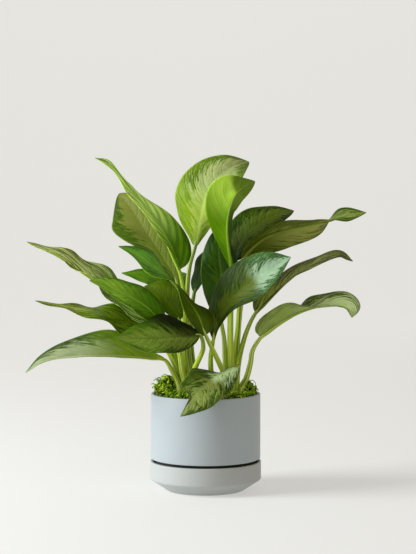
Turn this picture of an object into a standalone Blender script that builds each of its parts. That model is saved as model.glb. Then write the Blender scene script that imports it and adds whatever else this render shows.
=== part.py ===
"""A potted chinese evergreen: a leafy plant in a two-piece ceramic pot, with moss on its soil.

Everything is in metres with +Z up. The origin is the middle of the saucer's foot, on the table.
The plant is seen from the front along +Y, so -Y is the front and +X is to the right.
"""
import math
import random
from dataclasses import dataclass

import bmesh
import bpy
from mathutils import Matrix, Vector, noise

# Pot and saucer
POT_RADIUS = 0.075
POT_RIM_HEIGHT = 0.132
POT_SKIRT_HEIGHT = 0.0425
POT_NECK_RADIUS = 0.068
POT_NECK_FOOT = 0.018
POT_FOOT_RADIUS = 0.050
POT_WALL = 0.0045
POT_FLOOR_HEIGHT = 0.012
DRAIN_RADIUS = 0.006
SAUCER_RADIUS = 0.076
SAUCER_RIM_HEIGHT = 0.0395
SAUCER_WALL = 0.0045
SAUCER_CONE_HEIGHT = 0.0145
SAUCER_FOOT_RADIUS = 0.054
SAUCER_FLOOR_HEIGHT = 0.006
EDGE_ROUNDING = 0.0012
TURNED_SIDES = 48
GAP = 0.0003

# Soil and moss
SOIL_HEIGHT = 0.120
MOSS_EDGE_HEIGHT = 0.130
MOSS_MIDDLE_HEIGHT = 0.137
MOSS_LUMP_HEIGHT = 0.004
MOSS_LUMP_SIZE = 0.009
MOSS_RINGS = 8
MOSS_TUFTS = 70
TUFT_RADIUS = 0.0016
TUFT_LENGTH = 0.011
TUFT_SIDES = 3
TUFT_STEPS = 4
TUFT_SEED = 7
GOLDEN_ANGLE = math.radians(137.5)

# A tuft's bend, as shares of its length: (sideways, upward) at each point above its root
TUFT_BEND = ((0.14, 0.70), (0.72, 0.72), (0.81, 0.36))

# Each mound of moss: its middle, its height above the rest and its spread
MOSS_MOUNDS = (
    (-0.054, 0.003, 0.019, 0.016),
    (0.060, 0.003, 0.013, 0.010),
    (0.004, 0.046, 0.010, 0.016),
)

# Crowns, the short stems that the leaf stalks grow from
CROWN_RADIUS = 0.009
CROWN_FOOT = 0.085
CROWN_TOP = 0.129
CROWN_SIDES = 12
STALK_START = 0.118
STALK_RADIUS = 0.0036
STALK_TIP_RADIUS = 0.0020
STALK_SIDES = 6
STALK_STEPS = 7
BLADE_GAP = 0.00095

# Each crown: the middle of its stem and the radius of the hole that it leaves in the moss
CROWNS = {
    "stalks_left_front": (-0.027, -0.017, 0.0160),
    "stalks_left_back": (-0.021, 0.021, 0.0150),
    "stalks_middle": (0.010, -0.004, 0.0100),
    "stalks_right_front": (0.040, -0.014, 0.0170),
    "stalks_right_back": (0.037, 0.021, 0.0155),
}

# Leaf blades
BLADE_THICKNESS = 0.0008
RIB_TIP_THICKNESS = 0.0009
BLADE_STEPS = 12
HALF_STEPS = 3
CURVE_STEPS = 12
ARC_STEPS = 6


@dataclass(frozen=True)
class Leaf:
    """One leaf. Stations are spaced evenly from the blade's base to its tip."""

    crown: str
    # points of the stalk, from just above the crown to just below the blade
    stalk: tuple
    # points of the midrib, from the blade's base to its tip
    rib: tuple
    # the way the upper side faces, at each station
    face: tuple
    # greatest widths of the left and right halves, seen from above with the tip ahead, at each station
    half: tuple
    # how far the left and right halves rise from flat at the rib, in degrees, at each station
    fold: tuple
    # how much the halves bend further on the way to their margins, in degrees
    curl: tuple = ((-15, -15), (-10, -10))
    # where the blade is widest, from 0 at its base to 1 at its tip, and how finely the tip tapers
    widest: float = 0.40
    taper: float = 1.0
    # height of the margin's waves, and how many there are
    wave: tuple = (0.0015, 2.5)
    # colour of the upper side, halfway between its green and its silver
    colour: tuple = (0.10, 0.22, 0.03)


LEAVES = {
    "leaf_upper_left": Leaf(
        crown="stalks_left_front",
        stalk=((-0.0225, -0.013, 0.145), (-0.0285, -0.010, 0.190), (-0.0275, -0.008, 0.250)),
        rib=((-0.036, -0.008, 0.301), (-0.062, -0.018, 0.350), (-0.104, -0.028, 0.408),
             (-0.130, -0.031, 0.4445), (-0.148, -0.034, 0.4525)),
        face=((0.70, -0.55, 0.45), (0.70, -0.55, 0.45), (0.60, -0.60, 0.53)),
        half=((0.028, 0.047), (0.028, 0.037), (0.030, 0.019), (0.030, 0.022)),
        fold=((36, 25), (30, 20)),
        widest=0.25,
        taper=1.5,
    ),
    "leaf_upper_left_behind": Leaf(
        crown="stalks_left_back",
        stalk=((-0.026, 0.021, 0.145), (-0.028, 0.022, 0.190), (-0.031, 0.025, 0.240)),
        rib=((-0.039, 0.028, 0.282), (-0.059, 0.036, 0.316), (-0.083, 0.046, 0.352),
             (-0.104, 0.058, 0.384), (-0.122, 0.074, 0.405)),
        face=((-0.40, -0.80, 0.45), (-0.35, -0.80, 0.48)),
        half=((0.014, 0.026), (0.042, 0.030), (0.040, 0.030)),
        fold=((10, 10), (10, 10)),
        widest=0.52,
        taper=0.75,
        colour=(0.12, 0.19, 0.05),
    ),
    "leaf_top": Leaf(
        crown="stalks_left_back",
        stalk=((-0.020, 0.015, 0.145), (-0.024, 0.012, 0.190), (-0.0255, 0.013, 0.260),
               (-0.022, 0.015, 0.304)),
        rib=((-0.014, 0.016, 0.333), (-0.009, 0.012, 0.363), (-0.001, 0.010, 0.398),
             (0.014, 0.014, 0.424), (0.034, 0.024, 0.440), (0.060, 0.044, 0.449)),
        face=((-0.40, -0.88, 0.20), (-0.42, -0.88, 0.22), (-0.35, -0.85, 0.40)),
        half=((0.045, 0.032), (0.046, 0.030), (0.042, 0.040)),
        fold=((8, 25), (10, 25)),
        widest=0.42,
        taper=0.78,
        colour=(0.32, 0.42, 0.12),
    ),
    "leaf_top_front": Leaf(
        crown="stalks_right_front",
        stalk=((0.037, -0.009, 0.145), (0.0345, -0.008, 0.190), (0.0345, -0.008, 0.240),
               (0.036, -0.011, 0.280)),
        rib=((0.034, -0.014, 0.305), (0.029, -0.020, 0.335), (0.028, -0.024, 0.364),
             (0.033, -0.026, 0.388), (0.044, -0.020, 0.408), (0.067, -0.002, 0.421)),
        face=((-0.60, 0.80, 0.10), (-0.62, 0.78, 0.05), (-0.60, 0.70, -0.20)),
        half=((0.022, 0.018), (0.023, 0.022), (0.025, 0.037), (0.028, 0.022)),
        fold=((36, 36), (36, 36)),
        taper=0.75,
        widest=0.60,
        colour=(0.25, 0.45, 0.02),
    ),
    "leaf_upper_right_behind": Leaf(
        crown="stalks_right_back",
        stalk=((0.034, 0.027, 0.145), (0.034, 0.032, 0.190), (0.034, 0.038, 0.240),
               (0.036, 0.043, 0.280)),
        rib=((0.039, 0.046, 0.312), (0.052, 0.050, 0.341), (0.075, 0.058, 0.362),
             (0.102, 0.072, 0.375), (0.125, 0.090, 0.381)),
        face=((-0.35, -0.75, 0.55), (-0.20, -0.75, 0.60)),
        half=((0.036, 0.026), (0.033, 0.026)),
        fold=((12, 12), (12, 12)),
        widest=0.38,
        taper=0.9,
        colour=(0.07, 0.16, 0.03),
    ),
    "leaf_upper_right": Leaf(
        crown="stalks_right_back",
        stalk=((0.040, 0.013, 0.145), (0.0415, 0.008, 0.190), (0.0445, 0.007, 0.220),
               (0.047, 0.007, 0.260)),
        rib=((0.051, 0.010, 0.315), (0.074, 0.012, 0.341), (0.103, 0.014, 0.354),
             (0.136, 0.012, 0.361), (0.170, 0.006, 0.368), (0.194, 0.000, 0.377),
             (0.218, -0.008, 0.379)),
        face=((-0.10, 0.70, 0.70), (0.00, 0.70, 0.70), (0.00, 0.75, 0.66), (0.00, -0.25, 0.95),
              (0.00, -0.95, 0.30)),
        half=((0.030, 0.018), (0.032, 0.018), (0.036, 0.030)),
        fold=((-8, -8), (5, 5)),
        widest=0.38,
        colour=(0.13, 0.19, 0.04),
    ),
    "leaf_centre_right": Leaf(
        crown="stalks_middle",
        stalk=((0.0085, -0.010, 0.145), (0.0072, -0.020, 0.166), (0.0072, -0.025, 0.186)),
        rib=((0.0106, -0.030, 0.208), (0.0125, -0.034, 0.225), (0.019, -0.040, 0.241),
             (0.035, -0.050, 0.263), (0.057, -0.060, 0.284), (0.083, -0.070, 0.304),
             (0.112, -0.080, 0.321)),
        face=((-0.50, -0.80, 0.30), (-0.30, -0.85, 0.40), (-0.20, -0.80, 0.50)),
        half=((0.030, 0.018), (0.033, 0.0145), (0.037, 0.030), (0.040, 0.038)),
        fold=((12, 12), (12, 12)),
        widest=0.50,
        taper=0.78,
        colour=(0.25, 0.42, 0.20),
    ),
    "leaf_centre_back": Leaf(
        crown="stalks_right_back",
        stalk=((0.032, 0.014, 0.145), (0.0275, 0.006, 0.170), (0.0255, 0.004, 0.205)),
        rib=((0.021, 0.008, 0.235), (0.023, 0.012, 0.266), (0.021, 0.018, 0.300),
             (0.018, 0.026, 0.327), (0.021, 0.036, 0.349), (0.030, 0.048, 0.363)),
        face=((-0.30, -0.92, 0.20), (-0.30, -0.85, 0.40)),
        half=((0.029, 0.027),),
        fold=((10, 10), (10, 10)),
        widest=0.40,
        colour=(0.03, 0.10, 0.02),
    ),
    "leaf_centre_behind": Leaf(
        crown="stalks_left_back",
        stalk=((-0.016, 0.024, 0.145), (-0.0205, 0.034, 0.200), (-0.0195, 0.040, 0.240)),
        rib=((-0.0155, 0.042, 0.268), (-0.010, 0.046, 0.290), (0.000, 0.052, 0.316),
             (0.011, 0.061, 0.332), (0.021, 0.075, 0.342)),
        face=((-0.60, -0.35, 0.70), (-0.50, -0.35, 0.75)),
        half=((0.018, 0.020),),
        fold=((10, 10), (10, 10)),
        colour=(0.03, 0.09, 0.02),
    ),
    "leaf_right": Leaf(
        crown="stalks_right_back",
        stalk=((0.0425, 0.013, 0.145), (0.0445, 0.007, 0.168), (0.0480, 0.002, 0.188),
               (0.0575, 0.000, 0.220)),
        rib=((0.0687, -0.002, 0.2424), (0.088, 0.002, 0.264), (0.109, 0.008, 0.284),
             (0.131, 0.014, 0.300), (0.157, 0.018, 0.314), (0.185, 0.020, 0.323),
             (0.203, 0.022, 0.312)),
        face=((-0.45, -0.50, 0.75), (-0.40, -0.25, 0.88), (-0.10, -0.45, 0.85)),
        half=((0.040, 0.004), (0.023, 0.015), (0.018, 0.046)),
        fold=((15, 15), (10, 10)),
        colour=(0.06, 0.13, 0.03),
    ),
    "leaf_lower_right": Leaf(
        crown="stalks_right_front",
        stalk=((0.0500, -0.014, 0.144), (0.0550, -0.016, 0.153), (0.0610, -0.018, 0.175),
               (0.0637, -0.021, 0.192)),
        rib=((0.0747, -0.026, 0.2103), (0.087, -0.030, 0.2215), (0.104, -0.036, 0.234),
             (0.126, -0.042, 0.2465), (0.150, -0.050, 0.254), (0.175, -0.056, 0.256),
             (0.189, -0.060, 0.2515), (0.195, -0.062, 0.240)),
        face=((-0.20, 0.70, 0.65), (-0.10, 0.55, 0.80), (0.00, -0.60, 0.78), (0.35, -0.55, 0.70)),
        half=((0.022, 0.025), (0.020, 0.022), (0.019, 0.018), (0.026, 0.020), (0.060, 0.024)),
        fold=((42, 42), (38, 38)),
        widest=0.34,
        taper=0.65,
        colour=(0.16, 0.26, 0.05),
    ),
    "leaf_left": Leaf(
        crown="stalks_left_front",
        stalk=((-0.031, -0.015, 0.145), (-0.036, -0.013, 0.1625), (-0.0445, -0.011, 0.192),
               (-0.060, -0.012, 0.216)),
        rib=((-0.077, -0.016, 0.234), (-0.091, -0.020, 0.243), (-0.126, -0.030, 0.269),
             (-0.150, -0.038, 0.289), (-0.176, -0.046, 0.307), (-0.198, -0.052, 0.322),
             (-0.217, -0.056, 0.331), (-0.238, -0.060, 0.3405)),
        face=((0.35, -0.60, 0.72), (0.35, -0.60, 0.72), (0.20, -0.50, 0.85)),
        half=((0.026, 0.032), (0.020, 0.032)),
        fold=((15, 15), (26, 15), (42, 15), (42, 15), (30, 15)),
        widest=0.30,
        colour=(0.18, 0.30, 0.08),
    ),
    "leaf_left_twisted": Leaf(
        crown="stalks_left_front",
        stalk=((-0.034, -0.013, 0.145), (-0.0415, -0.015, 0.1715), (-0.052, -0.018, 0.192)),
        rib=((-0.068, -0.022, 0.2166), (-0.099, -0.036, 0.2305), (-0.126, -0.050, 0.2420),
             (-0.149, -0.060, 0.249), (-0.173, -0.066, 0.252), (-0.196, -0.070, 0.257),
             (-0.225, -0.072, 0.263)),
        face=((0.20, -0.60, 0.75), (0.20, -0.60, 0.75), (0.10, -0.20, 0.95), (0.10, -0.60, 0.75)),
        half=((0.020, 0.022), (0.033, 0.024), (0.024, 0.022), (0.014, 0.012)),
        fold=((5, 5), (5, 5)),
        widest=0.35,
        wave=(0.003, 2.5),
        colour=(0.10, 0.20, 0.02),
    ),
    "leaf_left_front": Leaf(
        crown="stalks_left_front",
        stalk=((-0.0275, -0.021, 0.145), (-0.032, -0.022, 0.1656), (-0.036, -0.024, 0.1936),
               (-0.045, -0.028, 0.212)),
        rib=((-0.057, -0.034, 0.226), (-0.076, -0.044, 0.250), (-0.108, -0.058, 0.271),
             (-0.134, -0.068, 0.284), (-0.153, -0.076, 0.290)),
        face=((0.30, -0.75, 0.60), (0.25, -0.75, 0.60)),
        half=((0.018, 0.026),),
        fold=((8, 8), (8, 8)),
        widest=0.36,
        colour=(0.12, 0.27, 0.03),
    ),
    "leaf_left_inner": Leaf(
        crown="stalks_left_back",
        stalk=((-0.0255, 0.013, 0.145), (-0.0275, 0.006, 0.180), (-0.031, 0.001, 0.208)),
        rib=((-0.036, -0.003, 0.232), (-0.049, 0.001, 0.252), (-0.064, 0.006, 0.268),
             (-0.084, 0.014, 0.278)),
        face=((0.10, -0.95, 0.30), (0.15, -0.90, 0.40)),
        half=((0.012, 0.026),),
        fold=((8, 8), (8, 8)),
        widest=0.45,
        colour=(0.08, 0.12, 0.01),
    ),
    "leaf_left_behind": Leaf(
        crown="stalks_left_back",
        stalk=((-0.029, 0.024, 0.145), (-0.030, 0.030, 0.190), (-0.031, 0.034, 0.230)),
        rib=((-0.034, 0.038, 0.256), (-0.059, 0.044, 0.278), (-0.083, 0.052, 0.290),
             (-0.118, 0.062, 0.294)),
        face=((0.15, -0.60, 0.78), (0.15, -0.60, 0.78)),
        half=((0.018, 0.018),),
        fold=((8, 8), (8, 8)),
        colour=(0.10, 0.27, 0.03),
    ),
    "leaf_centre_left": Leaf(
        crown="stalks_right_front",
        stalk=((0.0325, -0.021, 0.145), (0.023, -0.028, 0.166), (0.0115, -0.036, 0.191)),
        rib=((0.000, -0.044, 0.215), (-0.010, -0.051, 0.242), (-0.024, -0.056, 0.264),
             (-0.045, -0.059, 0.290), (-0.069, -0.062, 0.309), (-0.095, -0.065, 0.325),
             (-0.115, -0.068, 0.335)),
        face=((0.25, -0.90, 0.30), (0.45, -0.70, 0.45), (0.80, 0.10, 0.58), (0.80, 0.05, 0.60),
              (0.55, -0.40, 0.70), (0.35, -0.50, 0.78), (0.30, -0.50, 0.80)),
        half=((0.012, 0.024), (0.023, 0.028), (0.026, 0.020), (0.022, 0.020), (0.022, 0.024)),
        fold=((12, 12), (12, 4), (12, 4), (18, 18)),
        widest=0.30,
        colour=(0.10, 0.22, 0.03),
    ),
    "leaf_front_left": Leaf(
        crown="stalks_left_front",
        stalk=((-0.0205, -0.021, 0.145), (-0.0140, -0.031, 0.1700), (-0.003, -0.0475, 0.1985)),
        rib=((-0.008, -0.060, 0.2165), (-0.026, -0.071, 0.2160), (-0.053, -0.083, 0.2145),
             (-0.086, -0.095, 0.2145), (-0.117, -0.105, 0.2165)),
        face=((0.05, -0.72, 0.68), (0.05, -0.66, 0.74), (0.05, -0.62, 0.78)),
        half=((0.026, 0.052), (0.027, 0.047), (0.028, 0.036), (0.028, 0.036)),
        fold=((5, 5), (5, 5)),
        widest=0.45,
        colour=(0.09, 0.17, 0.03),
    ),
    "leaf_lower_left": Leaf(
        crown="stalks_left_front",
        stalk=((-0.0360, -0.021, 0.145), (-0.0445, -0.021, 0.163)),
        rib=((-0.0555, -0.024, 0.180), (-0.075, -0.029, 0.184), (-0.101, -0.037, 0.1865),
             (-0.133, -0.047, 0.1885), (-0.167, -0.057, 0.189), (-0.193, -0.064, 0.187),
             (-0.217, -0.070, 0.181), (-0.238, -0.074, 0.168)),
        face=((0.00, -0.65, 0.75), (0.00, -0.65, 0.75), (-0.20, -0.60, 0.75)),
        half=((0.022, 0.038), (0.022, 0.038), (0.022, 0.032)),
        fold=((46, 15), (46, 15)),
        widest=0.36,
        colour=(0.20, 0.30, 0.08),
    ),
    "leaf_over_rim": Leaf(
        crown="stalks_right_front",
        stalk=((0.040, -0.021, 0.143), (0.0425, -0.029, 0.158), (0.044, -0.038, 0.1695)),
        rib=((0.0434, -0.046, 0.1735), (0.0205, -0.062, 0.1645), (-0.0006, -0.078, 0.1515),
             (-0.019, -0.090, 0.1333), (-0.033, -0.096, 0.1125)),
        face=((-0.30, -0.75, 0.60), (-0.40, -0.85, 0.30), (-0.40, -0.90, 0.10)),
        half=((0.028, 0.005), (0.030, 0.009), (0.033, 0.030), (0.031, 0.018), (0.024, 0.004)),
        fold=((5, 5), (5, 5)),
        widest=0.45,
        colour=(0.14, 0.20, 0.05),
    ),
    "leaf_back_left": Leaf(
        crown="stalks_left_back",
        stalk=((-0.022, 0.030, 0.145), (-0.026, 0.045, 0.190), (-0.034, 0.066, 0.235)),
        rib=((-0.042, 0.085, 0.262), (-0.052, 0.112, 0.285), (-0.062, 0.142, 0.292),
             (-0.070, 0.172, 0.280)),
        face=((-0.10, 0.30, 0.90), (-0.10, 0.40, 0.90)),
        half=((0.027, 0.027),),
        fold=((12, 12), (12, 12)),
        colour=(0.08, 0.20, 0.03),
    ),
    "leaf_back_right": Leaf(
        crown="stalks_right_back",
        stalk=((0.040, 0.029, 0.145), (0.044, 0.046, 0.190), (0.048, 0.067, 0.230)),
        rib=((0.052, 0.085, 0.255), (0.060, 0.112, 0.278), (0.070, 0.140, 0.286),
             (0.080, 0.168, 0.275)),
        face=((0.10, 0.30, 0.90), (0.10, 0.40, 0.90)),
        half=((0.027, 0.027),),
        fold=((12, 12), (12, 12)),
        colour=(0.08, 0.20, 0.03),
    ),
}


def clear_scene():
    """Remove everything that the start-up file holds."""
    for thing in list(bpy.data.objects):
        bpy.data.objects.remove(thing)


def finish(name, colour, roughness, metallic=0.0):
    """Make a plain material with a base colour, a roughness and a metallic value."""
    material = bpy.data.materials.new(name)
    material.use_nodes = True
    shader = material.node_tree.nodes["Principled BSDF"]
    shader.inputs["Base Color"].default_value = (*colour, 1.0)
    shader.inputs["Roughness"].default_value = roughness
    shader.inputs["Metallic"].default_value = metallic
    return material


def add_object(name, bm, material=None, sharp_angle=35.0):
    """Turn a bmesh into a smooth-shaded object of the scene."""
    mesh = bpy.data.meshes.new(name)
    bm.to_mesh(mesh)
    bm.free()
    mesh.shade_smooth()
    mesh.set_sharp_from_angle(angle=math.radians(sharp_angle))
    if material:
        mesh.materials.append(material)
    thing = bpy.data.objects.new(name, mesh)
    bpy.context.scene.collection.objects.link(thing)
    return thing


def turned(profile, closed):
    """Turn an outline of (radius, height) points about the Z axis into a closed bmesh."""
    bm = bmesh.new()
    verts = [bm.verts.new((radius, 0.0, height)) for radius, height in profile]
    edges = [bm.edges.new(pair) for pair in zip(verts, verts[1:])]
    if closed:
        edges.append(bm.edges.new((verts[-1], verts[0])))
    bmesh.ops.spin(bm, geom=verts + edges, cent=(0, 0, 0), axis=(0, 0, 1),
                   angle=math.tau, steps=TURNED_SIDES, use_merge=True)
    bmesh.ops.remove_doubles(bm, verts=bm.verts, dist=1e-6)
    bmesh.ops.recalc_face_normals(bm, faces=bm.faces)
    return bm


def rounded(radius, height, to_radius, to_height):
    """Three points of a quarter round: it leaves the first point upright or flat and ends at the last."""
    outward = math.copysign(1.0, to_radius - radius)
    upward = math.copysign(1.0, to_height - height)
    bulge = EDGE_ROUNDING * (math.sqrt(0.5) - 0.5)
    middle = ((radius + to_radius) / 2 - outward * bulge, (height + to_height) / 2 + upward * bulge)
    return [(radius, height), middle, (to_radius, to_height)]


def make_saucer(material):
    """The lower tier: a flat foot, a tapered side, a straight wall and a rounded rim."""
    inner = SAUCER_RADIUS - SAUCER_WALL
    shoulder = SAUCER_RIM_HEIGHT - EDGE_ROUNDING
    profile = [(0.0, 0.0), (SAUCER_FOOT_RADIUS, 0.0)]
    profile += [(SAUCER_RADIUS - EDGE_ROUNDING, SAUCER_CONE_HEIGHT - EDGE_ROUNDING / 2)]
    profile += [(SAUCER_RADIUS, SAUCER_CONE_HEIGHT + EDGE_ROUNDING)]
    profile += rounded(SAUCER_RADIUS, shoulder, SAUCER_RADIUS - EDGE_ROUNDING, SAUCER_RIM_HEIGHT)
    profile += reversed(rounded(inner, shoulder, inner + EDGE_ROUNDING, SAUCER_RIM_HEIGHT))
    profile += [(inner, SAUCER_CONE_HEIGHT + SAUCER_WALL / 2)]
    profile += [(SAUCER_FOOT_RADIUS - SAUCER_WALL / 2, SAUCER_FLOOR_HEIGHT), (0.0, SAUCER_FLOOR_HEIGHT)]
    return add_object("saucer", turned(profile, closed=False), material)


def make_pot(material):
    """The upper tier: a straight cylinder whose neck steps in to stand in the saucer."""
    inner = POT_RADIUS - POT_WALL
    neck_inner = POT_NECK_RADIUS - POT_WALL
    step = POT_SKIRT_HEIGHT + POT_WALL
    foot = SAUCER_FLOOR_HEIGHT + GAP
    shoulder = POT_RIM_HEIGHT - EDGE_ROUNDING
    profile = [(DRAIN_RADIUS, foot), (POT_FOOT_RADIUS, foot), (POT_NECK_RADIUS, POT_NECK_FOOT)]
    profile += [(POT_NECK_RADIUS, POT_SKIRT_HEIGHT)]
    profile += reversed(rounded(POT_RADIUS, POT_SKIRT_HEIGHT + EDGE_ROUNDING,
                                POT_RADIUS - EDGE_ROUNDING, POT_SKIRT_HEIGHT))
    profile += rounded(POT_RADIUS, shoulder, POT_RADIUS - EDGE_ROUNDING, POT_RIM_HEIGHT)
    profile += reversed(rounded(inner, shoulder, inner + EDGE_ROUNDING, POT_RIM_HEIGHT))
    profile += [(inner, step), (neck_inner, step - POT_WALL / 2), (neck_inner, POT_NECK_FOOT + POT_WALL / 2)]
    profile += [(POT_FOOT_RADIUS - POT_WALL / 2, POT_FLOOR_HEIGHT), (DRAIN_RADIUS, POT_FLOOR_HEIGHT)]
    return add_object("pot", turned(profile, closed=True), material)


def cutters(name, radii, bottom, top):
    """Hidden upright prisms, one round each crown, in a collection of their own."""
    group = bpy.data.collections.new(name)
    bpy.context.scene.collection.children.link(group)
    for (x, y, _), radius in zip(CROWNS.values(), radii):
        bm = bmesh.new()
        bmesh.ops.create_cone(bm, cap_ends=True, segments=CROWN_SIDES, radius1=radius, radius2=radius,
                              depth=top - bottom, matrix=Matrix.Translation((x, y, (top + bottom) / 2)))
        cutter = add_object(name, bm)
        cutter.hide_render = True
        cutter.display_type = "WIRE"
        bpy.context.scene.collection.objects.unlink(cutter)
        group.objects.link(cutter)
    return group


def combine(body, operation, group, solver="EXACT"):
    """Apply a Boolean with every object of a collection to a body."""
    modifier = body.modifiers.new(operation.lower(), "BOOLEAN")
    modifier.operation = operation
    modifier.operand_type = "COLLECTION"
    modifier.collection = group
    modifier.solver = solver
    shape = body.evaluated_get(bpy.context.evaluated_depsgraph_get())
    mesh = bpy.data.meshes.new_from_object(shape)
    body.modifiers.remove(modifier)
    body.data = mesh


def fuse(body, pieces):
    """Join pieces to a body in one solid, and remove the pieces."""
    group = bpy.data.collections.new("pieces")
    bpy.context.scene.collection.children.link(group)
    for piece in pieces:
        bpy.context.scene.collection.objects.unlink(piece)
        group.objects.link(piece)
    combine(body, "UNION", group, solver="MANIFOLD")
    for piece in pieces:
        bpy.data.objects.remove(piece)
    bpy.data.collections.remove(group)


def drop_scraps(thing):
    """Keep only the largest of an object's separate bodies."""
    bm = bmesh.new()
    bm.from_mesh(thing.data)
    unseen = set(bm.verts)
    bodies = []
    while unseen:
        body = set()
        edge = {unseen.pop()}
        while edge:
            body |= edge
            edge = {other.other_vert(vert) for vert in edge for other in vert.link_edges} - body
        unseen -= body
        bodies.append(body)
    bodies.sort(key=len)
    scraps = [vert for body in bodies[:-1] for vert in body]
    bmesh.ops.delete(bm, geom=scraps, context="VERTS")
    bm.to_mesh(thing.data)
    bm.free()


def make_soil(material):
    """The soil that fills the pot, with a plain hole for each crown."""
    inner = POT_RADIUS - POT_WALL - GAP
    neck_inner = POT_NECK_RADIUS - POT_WALL - GAP
    step = POT_SKIRT_HEIGHT + POT_WALL + GAP
    floor = POT_FLOOR_HEIGHT + GAP
    profile = [(0.0, floor), (POT_FOOT_RADIUS - POT_WALL / 2 - GAP, floor)]
    profile += [(neck_inner, POT_NECK_FOOT + POT_WALL / 2 + GAP), (neck_inner, step - POT_WALL / 2)]
    profile += [(inner, step), (inner, SOIL_HEIGHT), (0.0, SOIL_HEIGHT)]
    soil = add_object("soil", turned(profile, closed=False), material)
    radii = [CROWN_RADIUS + 2 * GAP] * len(CROWNS)
    combine(soil, "DIFFERENCE", cutters("crown_hole", radii, CROWN_FOOT - 2 * GAP, SOIL_HEIGHT + 0.01))
    return soil


def moss_height(x, y):
    """Height of the moss above the table, with its mounds and its small lumps."""
    reach = math.hypot(x, y) / POT_RADIUS
    height = MOSS_EDGE_HEIGHT + (MOSS_MIDDLE_HEIGHT - MOSS_EDGE_HEIGHT) * (1 - reach ** 3)
    for mound_x, mound_y, rise, spread in MOSS_MOUNDS:
        away = math.hypot(x - mound_x, y - mound_y) / spread
        height += rise * math.exp(-away * away)
    spot = Vector((x, y, 0.0)) / MOSS_LUMP_SIZE
    return height + MOSS_LUMP_HEIGHT * noise.noise(spot) * (1.2 - reach)


def moss_core():
    """The body of the moss: a disc whose top is raised in lumps and mounds."""
    edge = POT_RADIUS - POT_WALL - GAP
    floor = SOIL_HEIGHT + GAP
    profile = [(0.0, floor), (edge, floor), (edge, MOSS_EDGE_HEIGHT)]
    for ring in range(1, MOSS_RINGS + 1):
        profile.append((edge * (MOSS_RINGS - ring) / MOSS_RINGS, MOSS_EDGE_HEIGHT))
    bm = turned(profile, closed=False)
    for vert in bm.verts:
        if vert.co.z > floor + GAP:
            inside = math.hypot(vert.co.x, vert.co.y) < edge * 0.99
            vert.co.z = moss_height(vert.co.x, vert.co.y) if inside else MOSS_EDGE_HEIGHT
    return bm


def smooth_curve(points):
    """Points of a smooth curve through the given ones, CURVE_STEPS to a span."""
    knots = [0.0]
    for start, end in zip(points, points[1:]):
        knots.append(knots[-1] + math.sqrt((end - start).length))
    slopes = [(points[1] - points[0]) / knots[1]]
    for before, here, after, k0, k1, k2 in zip(points, points[1:], points[2:], knots, knots[1:], knots[2:]):
        back = (here - before) / (k1 - k0)
        ahead = (after - here) / (k2 - k1)
        slopes.append((back * (k2 - k1) + ahead * (k1 - k0)) / (k2 - k0))
    slopes.append((points[-1] - points[-2]) / (knots[-1] - knots[-2]))
    curve = []
    for index, (start, end) in enumerate(zip(points, points[1:])):
        span = knots[index + 1] - knots[index]
        for step in range(CURVE_STEPS):
            t = step / CURVE_STEPS
            curve.append(start * (1 + 2 * t) * (1 - t) ** 2 + slopes[index] * span * t * (1 - t) ** 2
                         + end * t * t * (3 - 2 * t) + slopes[index + 1] * span * t * t * (t - 1))
    return curve + [points[-1]]


def along(curve, share):
    """The point and the direction of a curve at a share of its length."""
    lengths = [(end - start).length for start, end in zip(curve, curve[1:])]
    left = share * sum(lengths)
    for index, length in enumerate(lengths):
        if left <= length or index == len(lengths) - 1:
            break
        left -= length
    point = curve[index].lerp(curve[index + 1], left / lengths[index])
    before = curve[max(index - 1, 0)]
    after = curve[min(index + 2, len(curve) - 1)]
    return point, (after - before).normalized()


def tube(name, curve, radii, sides, steps):
    """A closed round tube along a curve, whose radius runs from the first value to the second."""
    bm = bmesh.new()
    rings = []
    turn = Vector((0, 0, 1)).rotation_difference(along(curve, 0)[1])
    last = along(curve, 0)[1]
    for step in range(steps + 1):
        share = step / steps
        point, direction = along(curve, share)
        turn = last.rotation_difference(direction) @ turn
        last = direction
        radius = radii[0] + (radii[1] - radii[0]) * share
        place = Matrix.Translation(point) @ turn.to_matrix().to_4x4()
        ring = bmesh.ops.create_circle(bm, segments=sides, radius=radius, matrix=place)["verts"]
        rings.append([edge for edge in bm.edges if edge.verts[0] in ring])
    for lower, upper in zip(rings, rings[1:]):
        bmesh.ops.bridge_loops(bm, edges=lower + upper)
    bmesh.ops.holes_fill(bm, edges=rings[0] + rings[-1])
    bmesh.ops.recalc_face_normals(bm, faces=bm.faces)
    return add_object(name, bm)


def make_moss(material):
    """The moss: its lumpy body with curled tufts standing out of it, open round each crown."""
    moss = add_object("moss", moss_core(), material)
    draw = random.Random(TUFT_SEED)
    tufts = []
    for number in range(MOSS_TUFTS):
        heading = number * GOLDEN_ANGLE
        reach = (POT_RADIUS - POT_WALL - TUFT_LENGTH) * math.sqrt((number + 0.5) / MOSS_TUFTS)
        x = reach * math.cos(heading)
        y = reach * math.sin(heading)
        root = Vector((x, y, moss_height(x, y) - TUFT_RADIUS * 2))
        lean = draw.uniform(0, math.tau)
        side = Vector((math.cos(lean), math.sin(lean), 0.0))
        length = TUFT_LENGTH * draw.uniform(0.7, 1.0)
        points = [root]
        for sideways, upward in TUFT_BEND:
            points.append(root + (side * sideways + Vector((0, 0, upward))) * length)
        radii = (TUFT_RADIUS, TUFT_RADIUS / 2)
        tufts.append(tube("tuft", smooth_curve(points), radii, TUFT_SIDES, TUFT_STEPS))
    fuse(moss, tufts)
    radii = [hole for _, _, hole in CROWNS.values()]
    combine(moss, "DIFFERENCE", cutters("moss_hole", radii, SOIL_HEIGHT - 0.01, 0.2))
    drop_scraps(moss)
    return moss


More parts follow.
